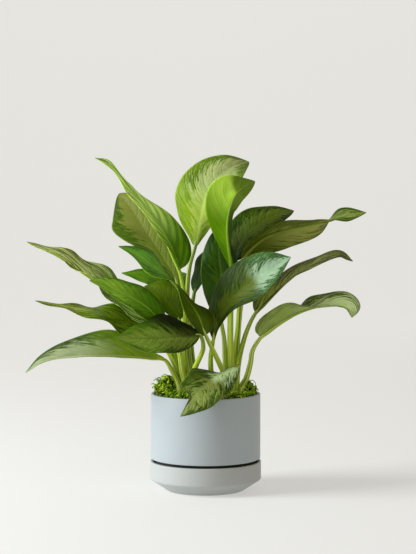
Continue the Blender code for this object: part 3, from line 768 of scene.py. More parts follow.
@dataclass(frozen=True)
class Leaf:
    """One leaf: its stalk, its blade and its finish.

    Its listed lengths are in millimetres and its angles in degrees. Stations are spaced evenly from base
    to tip.
    """

    crown: Crown
    # points of the stalk, from just above the crown to just below the blade
    stalk: tuple[Point, ...]
    # points of the midrib, from the blade's base to its tip
    rib: tuple[Point, ...]
    # the way the upper side faces
    face: tuple[Point, ...]
    # greatest widths of the left and right halves, seen from above with the tip ahead
    half: tuple[Pair, ...]
    finish: LeafFinish
    # how far the halves rise from flat at the rib
    fold: tuple[Pair, ...] = ((12, 12),)
    # how far the pale middle reaches in each half, as a share of the half's width
    reach: tuple[Pair, ...] = ((0.45, 0.45), (0.70, 0.70), (0.60, 0.60))
    # share of the length where the blade is widest, and how finely it runs out
    widest: float = 0.40
    taper: float = 1.0
    # height of the margin's waves, and how many there are
    wave: Pair = (1.5, 2.5)
    # height of the soft ribs between the side veins
    quilt: float = 0.4

    # how much further the halves bend from the rib to the margin, at the base and at the tip
    CURL = ((-15, -15), (-10, -10))
    # in metres: where the stalks start above the table, then radii, widths and the blade's thickness
    STALK_START = 0.118
    STALK_RADIUS = 0.0024
    STALK_SWELLING = 0.0023
    SHEATH_SWELLING = 0.0010
    RIB_END_RADIUS = 0.0003
    BASE_WIDTH = 0.0020
    TIP_WIDTH = 0.0004
    THICKNESS = 0.0007
    STEPS_ALONG = 96
    STEPS_ACROSS = 32
    # how strongly the rows of points crowd towards the base and the tip
    CROWDING = 0.3

    def curves(self) -> tuple[Curve, Curve, Curve]:
        """The leaf's line from the crown to the tip, then its stalk and its midrib by themselves."""
        first = metres(self.stalk[0])
        middle = self.crown.value
        start = Vector(((middle[0] + first[0]) / 2, (middle[1] + first[1]) / 2, self.STALK_START))
        whole = Curve([start] + [Vector(metres(point)) for point in self.stalk + self.rib])
        base = Curve.STEPS * (1 + len(self.stalk))
        return whole, whole.part(0, base), whole.part(base, len(whole.points) - 1)

    def upward(self, direction: Vector, share: float) -> Vector:
        """The way the upper side faces, square to the midrib."""
        up = through(self.face, share)
        return (up - direction * up.dot(direction)).normalized()

    def width(self, side: int, share: float) -> float:
        """Width of one half, from its round base over its widest place to its fine tip."""
        power = self.taper * self.widest / (1 - self.widest)
        peak = self.widest ** power * (1 - self.widest) ** self.taper
        shape = share ** power * max(1 - share, 0.0) ** self.taper / peak
        ends = self.BASE_WIDTH + (self.TIP_WIDTH - self.BASE_WIDTH) * share
        broad = through([metres(widths) for widths in self.half], share)[side]
        return ends + (broad - ends) * shape

    def relief(self, share: float, reach: float, side: int) -> float:
        """Height of the waves at the margin and of the soft ribs between the side veins."""
        height, count = self.wave
        ripple = math.sin(math.tau * (count * share + side * 0.3)) * math.sin(math.pi * share)
        vein = self.finish.veins * (share - self.finish.lean * reach ** self.finish.VEIN_CURVE)
        pillow = abs(math.sin(math.pi * vein)) ** 0.7 * math.sin(math.pi * min(reach * 1.1, 1.0)) ** 0.6
        fade = min(share * 8, 1.0) * min((1 - share) * 6, 1.0)
        return (height * ripple * reach * reach + self.quilt * pillow * fade) / MM

    def blade(self, name: str, seed: float) -> bpy.types.Object:
        """Build the blade.

        Args:
            name: The blade's name.
            seed: Where its noise is read.

        Returns:
            The blade, with the attribute "blade": across, share of the length, reach of the pale middle.
        """
        rib = self.curves()[2]
        bm = bmesh.new()
        bmesh.ops.create_grid(bm, x_segments=self.STEPS_ALONG, y_segments=self.STEPS_ACROSS, size=1.0)
        bmesh.ops.reverse_faces(bm, faces=bm.faces)
        place = bm.verts.layers.float_vector.new("blade")
        rows = []
        for step in range(self.STEPS_ALONG + 1):
            even = step / self.STEPS_ALONG
            share = even * (1 - self.CROWDING) + (1 - math.cos(math.pi * even)) / 2 * self.CROWDING
            point, direction = rib.at(share)
            up = self.upward(direction, share)
            widths = (self.width(0, share), self.width(1, share))
            folds = [math.radians(angle) for angle in through(self.fold, share)]
            bend = math.radians(through(self.CURL, share)[0])
            pale = through(self.reach, share)
            rows.append((share, point, up, direction.cross(up), widths, folds, bend, pale))
        for vert in bm.verts:
            row = rows[round((vert.co.x + 1) / 2 * self.STEPS_ALONG)]
            share, point, up, right, widths, folds, bend, pale = row
            across = vert.co.y
            side = 1 if across > 0 else 0
            reach = abs(across)
            fold = folds[side]
            out = widths[side] * (math.sin(fold + bend * reach) - math.sin(fold)) / bend
            rise = widths[side] * (math.cos(fold) - math.cos(fold + bend * reach)) / bend
            rise += self.relief(share, reach, side)
            vert[place] = (across, share, pale[side])
            vert.co = point + right * math.copysign(out, across) + up * rise
        materials = [self.finish.upper(name + "_upper", seed), self.finish.below(name + "_under", seed)]
        blade = mesh_object(name, bm, materials)
        wall = blade.modifiers.new("wall", "SOLIDIFY")
        wall.thickness = self.THICKNESS
        wall.offset = -1.0
        wall.material_offset = BladeSide.UNDER
        wall.material_offset_rim = BladeSide.UPPER
        return blade

    def stem(self, draw: float) -> bmesh.types.BMesh:
        """The stalk, which runs on below the blade as its midrib.

        Args:
            draw: A number that is this stalk's own.

        Returns:
            The closed tube.
        """
        whole, stalk, rib = self.curves()
        base = stalk.length / whole.length

        def radius(share: float) -> float:
            """Thick at its sheathed foot, slender under the blade, and fine at the tip."""
            if share < base:
                up = share / base
                sheath = self.SHEATH_SWELLING * max(1 - up * 3.0, 0.0) ** 2
                return self.STALK_RADIUS + self.STALK_SWELLING * (1 - up) ** 0.8 + sheath
            left = 1 - (share - base) / (1 - base)
            return self.RIB_END_RADIUS + (self.STALK_RADIUS - self.RIB_END_RADIUS) * left ** 1.1

        def shift(share: float) -> Vector:
            """Keeps the midrib mostly below the blade."""
            if share <= base:
                return Vector()
            on_blade = (share - base) / (1 - base)
            up = self.upward(rib.at(on_blade)[1], on_blade)
            return -up * (radius(share) * min(on_blade / 0.08, 1.0) + self.THICKNESS * 0.5)

        return tube_mesh(whole, radius, shift, 12, 110, draw, srgb(*self.finish.rib))


@dataclass
class Plant:
    """All the leaves, and the crowns that they grow from. Lengths are in metres."""

    leaves: dict[str, Leaf]
    crown_radius: float = 0.0085
    crown_foot: float = 0.100
    crown_top: float = 0.1315
    # how far from each other two leaves read their noise, and two stalks
    blade_draw: float = 7.31
    stalk_draw: float = 1.37

    def build(self) -> None:
        """Build every blade and every crown with its stalks."""
        for number, (node, leaf) in enumerate(self.leaves.items()):
            blade = leaf.blade(node.replace("leaf", "blade"), number * self.blade_draw)
            place_piece(blade, node)
        dress = StalkFinish().material()
        for crown in Crown:
            self.stalks(crown, dress)

    def stalks(self, crown: Crown, dress: bpy.types.Material) -> None:
        """Build one crown's stem with its leaf stalks and midribs.

        Args:
            crown: The crown.
            dress: The stalks' material.
        """
        x, y = crown.value
        stem = Curve([Vector((x, y, self.crown_foot)), Vector((x, y, self.crown_top))])

        def radius(share: float) -> float:
            """Barrel-shaped, with a ring at each old leaf scar."""
            return self.crown_radius * (0.93 + 0.07 * math.cos(share * 20)) * (1 - 0.25 * share ** 4)

        bm = tube_mesh(stem, radius, unmoved, 24, 24, 0.5, StalkFinish().foot)
        for number, leaf in enumerate(self.leaves.values()):
            if leaf.crown is crown:
                join_into(bm, leaf.stem(number * self.stalk_draw))
        place_piece(mesh_object(crown.node + "_fine", bm, [dress]), crown.node)


@dataclass
class Ceramic:
    """The two-piece pot: a straight cylinder that steps in to stand inside its tapered saucer.

    Lengths are in metres. The pot's and the saucer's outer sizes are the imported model's own.
    """

    wall: float = 0.0045
    rounding: float = 0.0013
    neck_radius: float = 0.068
    neck_foot: float = 0.018
    foot_radius: float = 0.050
    floor_height: float = 0.012
    drain_radius: float = 0.006
    # height of the gap between the saucer's rim and the pot's skirt
    gap: float = 0.0036
    saucer_cone_height: float = 0.0145
    saucer_rounding: float = 0.004
    saucer_foot_radius: float = 0.054
    saucer_floor: float = 0.006
    sides: int = 128
    low: Vector = field(default_factory=lambda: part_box("pot")[0])
    high: Vector = field(default_factory=lambda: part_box("pot")[1])
    saucer_high: Vector = field(default_factory=lambda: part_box("saucer")[1])

    def quarter(self, middle: Pair, start: float, end: float, size: float = 0.0) -> list[Pair]:
        """Points of an arc.

        Args:
            middle: Its middle.
            start: The angle where it starts, in degrees from straight out.
            end: The angle where it ends.
            size: Its radius, or 0 for the usual rounding.

        Returns:
            Seven points.
        """
        size = size or self.rounding
        angles = [math.radians(start + (end - start) * step / 6) for step in range(7)]
        x, z = middle
        return [(x + size * math.cos(angle), z + size * math.sin(angle)) for angle in angles]

    def rim(self, radius: float, height: float) -> list[Pair]:
        """The rounded top of a wall, from its outer side to its inner one."""
        size = self.rounding
        outer = self.quarter((radius - size, height - size), 0, 90)
        return outer + self.quarter((radius - self.wall + size, height - size), 90, 180)

    def pot(self) -> None:
        """Build the pot."""
        radius = self.high[0]
        foot = self.low[2]
        skirt = self.saucer_high[2] + self.gap
        size = self.rounding
        outline = [(self.drain_radius, foot), (self.foot_radius, foot), (self.neck_radius, self.neck_foot)]
        outline += [(self.neck_radius, skirt + size * 0.6)]
        outline += self.quarter((radius - size, skirt + size), -90, 0)
        outline += self.rim(radius, self.high[2])
        outline += [(radius - self.wall, skirt + self.wall)]
        outline += [(self.neck_radius - self.wall, skirt + self.wall / 2)]
        outline += [(self.neck_radius - self.wall, self.neck_foot + self.wall / 2)]
        outline += [(self.foot_radius - self.wall / 2, self.floor_height)]
        outline += [(self.drain_radius, self.floor_height)]
        shape = turned(outline, True, self.sides)
        # painted shade: the faces below the skirt, inside the saucer's wall, take the dark gap colour
        self.paint_gap_shade(shape, foot, skirt + size * 0.6, -1.1)
        pot = mesh_object("pot_glazed", shape, [Glaze("pot_glaze").material(), GapShade().material()])
        place_piece(pot, "pot")

    def paint_gap_shade(self, shape: bmesh.types.BMesh, bottom: float, top: float, lowest: float) -> None:
        """Paint shade on a shape between two heights, inside the saucer's wall, by giving those faces the
        dark gap colour.

        Args:
            shape: The shape.
            bottom: The lower height.
            top: The upper height.
            lowest: Faces that point further down than this stay glazed.
        """
        shape.normal_update()
        reach = self.saucer_high[0] - self.wall + 0.0002
        for face in shape.faces:
            middle = face.calc_center_median()
            inside = bottom - 1e-5 <= middle.z <= top and math.hypot(middle.x, middle.y) < reach
            if inside and face.normal.z > lowest:
                face.material_index = 1

    def saucer(self) -> None:
        """Build the saucer."""
        radius = self.saucer_high[0]
        rim = self.saucer_high[2]
        cone = self.saucer_cone_height
        outline = [(0.0, 0.0), (self.saucer_foot_radius - 0.001, 0.0), (self.saucer_foot_radius, 0.0006)]
        bend = self.saucer_rounding
        outline += self.quarter((radius - bend, cone + 0.0025), -38, 0, bend)
        outline += self.rim(radius, rim)
        outline += [(radius - self.wall, cone + self.wall / 2)]
        outline += [(self.saucer_foot_radius - self.wall / 2, self.saucer_floor), (0.0, self.saucer_floor)]
        dress = Glaze("saucer_glaze", srgb(177, 181, 179), srgb(170, 174, 172)).material()
        shape = turned(outline, False, self.sides)
        # painted shade: the saucer's inner wall and floor below its rim take the dark gap colour
        self.paint_gap_shade(shape, self.saucer_floor, rim - self.rounding, -0.1)
        saucer = mesh_object("saucer_glazed", shape, [dress, GapShade().material()])
        place_piece(saucer, "saucer")


@dataclass
class Moss:
    """The bed of curly moss on the soil, with its mounds. Lengths are in metres but for two lists."""

    edge: float = 0.0702
    floor: float = 0.1203
    edge_height: float = 0.130
    middle_height: float = 0.137
    # each mound, in millimetres: its middle, its height above the rest and its spread
    mounds: tuple[tuple[float, ...], ...] = ((-54, 3, 19, 16), (60, 3, 13, 10), (4, 46, 10, 16))
    # loose strands that stand out of the bed: the points of each, in millimetres
    stray: tuple[tuple[Point, ...], ...] = (
        ((56, -22, 134), (59, -24, 146), (62.5, -25, 152.5), (67.2, -26, 149), (68, -26, 144)),
        ((-56, -18, 144), (-60, -22, 152), (-65, -25, 153.5), (-68, -27, 156)),
        ((-50, -10, 148), (-52, -12, 157), (-57, -14, 159), (-59, -14, 156)),
        ((50, -30, 132), (48, -34, 142), (53, -36, 145), (55, -36, 141)),
    )
    # size and height of the lumps, of the crumbs on them, and of the dip round each crown
    lump: Pair = (0.009, 0.005)
    crumb: Pair = (0.0035, 0.0022)
    dip: Pair = (0.012, 0.010)
    # height where the moss's painted shade is darkest, and how far above it its painted light is brightest
    shade: Pair = (0.126, 0.03)
    stray_radius: float = 0.0009
    rings: int = 34
    strands: int = 1900
    strand_length: float = 0.0135
    strand_radius: float = 0.00125
    strand_steps: int = 6
    # the strands lie on a spiral: the turn from each to the next, in degrees, and the margin they leave
    spiral: float = 137.5
    margin: float = 0.0015
    rooting: float = 0.0008
    seed: int = 11

    def height(self, x: float, y: float) -> float:
        """Height of the bed above the table at a place."""
        reach = math.hypot(x, y) / self.edge
        height = self.edge_height + (self.middle_height - self.edge_height) * (1 - min(reach, 1.0) ** 3)
        for mound_x, mound_y, rise, spread in map(metres, self.mounds):
            away = math.hypot(x - mound_x, y - mound_y) / spread
            height += rise * math.exp(-away * away)
        lump = noise.noise(Vector((x, y, 0.0)) / self.lump[0])
        crumb = noise.noise(Vector((x, y, 3.0)) / self.crumb[0])
        dip = sum(math.exp(-(math.dist((x, y), spot.value) / self.dip[0]) ** 2) for spot in Crown)
        height += self.lump[1] * lump * (1.2 - reach) + self.crumb[1] * crumb
        return height - self.dip[1] * min(dip, 1.0)

    def bed(self) -> bmesh.types.BMesh:
        """The body of the moss, a closed disc with a lumpy top."""
        outline = [(0.0, self.floor), (self.edge, self.floor)]
        outline += [(self.edge * ring / self.rings, self.edge_height) for ring in range(self.rings, -1, -1)]
        bm = turned(outline, False, 110)
        for vert in bm.verts:
            if vert.co.z > self.floor + 1e-4:
                vert.co.z = self.height(vert.co.x, vert.co.y)
        layer = bm.verts.layers.float_vector.new("strand")
        for vert in bm.verts:
            vert[layer] = (0.1, 0.5, 0.0)
        return bm

    def strand(self, root: Vector, draw: random.Random, length: float) -> bmesh.types.BMesh:
        """One curled strand.

        Args:
            root: Where it starts.
            draw: The source of chance.
            length: Its length, in metres.

        Returns:
            A thin three-sided tube with the attribute "strand".
        """
        heading = draw.uniform(0, math.tau)
        side = Vector((math.cos(heading), math.sin(heading), 0.0))
        cross = Vector((-math.sin(heading), math.cos(heading), 0.0))
        curl = draw.uniform(2.4, 6.0)
        size = length / curl
        spin = draw.uniform(-0.5, 0.5)
        rise = draw.uniform(0.1, 0.8)
        bm = bmesh.new()
        bmesh.ops.create_grid(bm, x_segments=self.strand_steps, y_segments=3, size=1.0)
        layer = bm.verts.layers.float_vector.new("strand")
        chance = draw.random()
        for vert in bm.verts:
            share = (vert.co.x + 1) / 2
            angle = (vert.co.y + 1) * math.pi
            turn = share * curl
            middle = root + side * (size * (1 - math.cos(turn))) + cross * (size * spin * turn)
            middle += Vector((0, 0, size * math.sin(turn) + length * rise * share * 0.5))
            thick = self.strand_radius * (1 - share * 0.5)
            ring = side * math.cos(turn) - Vector((0, 0, math.sin(turn)))
            vert[layer] = (0.25 + share * 0.75, chance, 0.0)
            vert.co = middle + ring * math.cos(angle) * thick + cross * math.sin(angle) * thick
        close_tube(bm)
        return bm

    def stray_strand(self, points: tuple[Point, ...], chance: float) -> bmesh.types.BMesh:
        """One loose strand that stands out of the bed.

        Args:
            points: The points that it passes.
            chance: A number that is this strand's own.

        Returns:
            A thin closed tube with the attribute "strand".
        """
        def radius(share: float) -> float:
            """Thinner towards its end."""
            return self.stray_radius * (1 - share * 0.6)

        curve = Curve([Vector(metres(point)) for point in points])
        bm = tube_mesh(curve, radius, unmoved, 5, 20, chance, MossFinish().bright)
        layer = bm.verts.layers.float_vector.new("strand")
        place = bm.verts.layers.float_vector["tube"]
        for vert in bm.verts:
            vert[layer] = (0.4 + vert[place][0] * 0.6, chance, 0.0)
        return bm

    def build(self) -> None:
        """Build the bed with all its strands."""
        draw = random.Random(self.seed)
        bm = self.bed()
        for number in range(self.strands):
            heading = number * math.radians(self.spiral)
            reach = (self.edge - self.margin) * math.sqrt((number + 0.5) / self.strands)
            x = reach * math.cos(heading)
            y = reach * math.sin(heading)
            root = Vector((x, y, self.height(x, y) - self.rooting))
            join_into(bm, self.strand(root, draw, self.strand_length * draw.uniform(0.5, 1.0)))
        for number, points in enumerate(self.stray):
            join_into(bm, self.stray_strand(points, 0.2 + 0.2 * number))
        # painted shade: each point's height in the bed, which the moss material turns into darker colour
        # low down
        layer = bm.verts.layers.float_vector["strand"]
        for vert in bm.verts:
            share, chance, _ = vert[layer]
            rise = (vert.co.z - self.shade[0]) / self.shade[1]
            vert[layer] = (share, chance, max(min(rise, 1.0), 0.0))
        bmesh.ops.recalc_face_normals(bm, faces=bm.faces)
        place_piece(mesh_object("moss_curly", bm, [MossFinish().material()]), "moss")


@dataclass
class Studio:
    """A plain pale sweep, a soft key from the left, and a camera straight in front."""

    camera_place: Point = (0.0033, -2.222, 0.395)
    camera_aim: Point = (0.0033, 0.0, 0.291)
    lens: float = 105.9
    # what the lights shine at
    plant_middle: Point = (0.0, 0.0, 0.25)
    # the sweep: half its width, where it starts and starts to curve, the curve's radius, and its top
    sweep_reach: float = 6.0
    sweep_front: float = -4.0
    sweep_back: float = 3.0
    sweep_bend: float = 1.5
    sweep_top: float = 5.0
    pale: Colour = srgb(178, 178, 176)
    cloudy: Colour = srgb(182, 181, 178)
    sky: Colour = srgb(246, 236, 218)
    sky_strength: float = 0.42

    def aim(self, thing: bpy.types.Object, place: Point, target: Point) -> None:
        """Put a thing at a place and turn its -Z towards a target."""
        thing.location = place
        thing.rotation_euler = (Vector(target) - Vector(place)).to_track_quat("-Z", "Y").to_euler()
        bpy.context.scene.collection.objects.link(thing)

    def sweep(self) -> None:
        """The floor, which runs far back and curves up into the backdrop."""
        bm = bmesh.new()
        bend = self.sweep_bend
        places = [(self.sweep_front, 0.0)]
        for step in range(13):
            angle = math.radians(-90 + step * 7.5)
            places.append((self.sweep_back + bend * math.cos(angle), bend + bend * math.sin(angle)))
        places.append((self.sweep_back + bend, self.sweep_top))
        outline = [bm.verts.new((-self.sweep_reach, y, z)) for y, z in places]
        edges = [bm.edges.new(pair) for pair in zip(outline, outline[1:])]
        side = bmesh.ops.extrude_edge_only(bm, edges=edges)["geom"]
        moved = [item for item in side if isinstance(item, bmesh.types.BMVert)]
        bmesh.ops.translate(bm, verts=moved, vec=(self.sweep_reach * 2, 0.0, 0.0))
        recipe = Recipe("paper_sweep", 0.9, 0.2)
        cloud = recipe.noise(recipe.place(), 3.0, 2.0)
        colour = recipe.mix(cloud, self.pale, self.cloudy, 0.1)
        far = recipe.add("SeparateXYZ", Vector=recipe.place()).outputs["Y"]
        recipe.shader.inputs["Emission Color"].default_value = (*self.pale, 1.0)
        glow = recipe.scaled(recipe.ramp(far, 0.4, 3.2), 0.18, 0.93)
        recipe.plug(recipe.shader.inputs["Emission Strength"], glow)
        floor = mesh_object("paper_sweep", bm, [recipe.finish(colour)])

    def light(self, name: str, place: Point, size: float, power: float, colour: Colour) -> None:
        """Add a square soft light that shines at the plant.

        Args:
            name: Its name.
            place: Where it stands.
            size: Its side, in metres.
            power: Its power, in watts.
            colour: Its colour.
        """
        lamp = bpy.data.lights.new(name, "AREA")
        lamp.size = size
        lamp.energy = power
        lamp.color = colour
        self.aim(bpy.data.objects.new(name, lamp), place, self.plant_middle)

    def build(self) -> None:
        """Build the sweep, the lights, the sky and the camera."""
        self.sweep()
        bpy.context.scene.view_settings.view_transform = "Standard"
        self.light("key", (-2.3, -0.6, 1.2), size=1.3, power=92.0, colour=(0.94, 0.985, 1.03))
        self.light("fill", (1.8, -2.2, 1.0), size=1.8, power=2.0, colour=(1.0, 0.97, 0.92))
        world = bpy.data.worlds.new("soft_sky")
        bpy.context.scene.world = world
        world.use_nodes = True
        sky = world.node_tree.nodes["Background"]
        sky.inputs["Color"].default_value = (*self.sky, 1.0)
        sky.inputs["Strength"].default_value = self.sky_strength
        camera = bpy.data.cameras.new("camera")
        camera.lens = self.lens
        seat = bpy.data.objects.new("camera", camera)
        self.aim(seat, self.camera_place, self.camera_aim)
        bpy.context.scene.camera = seat


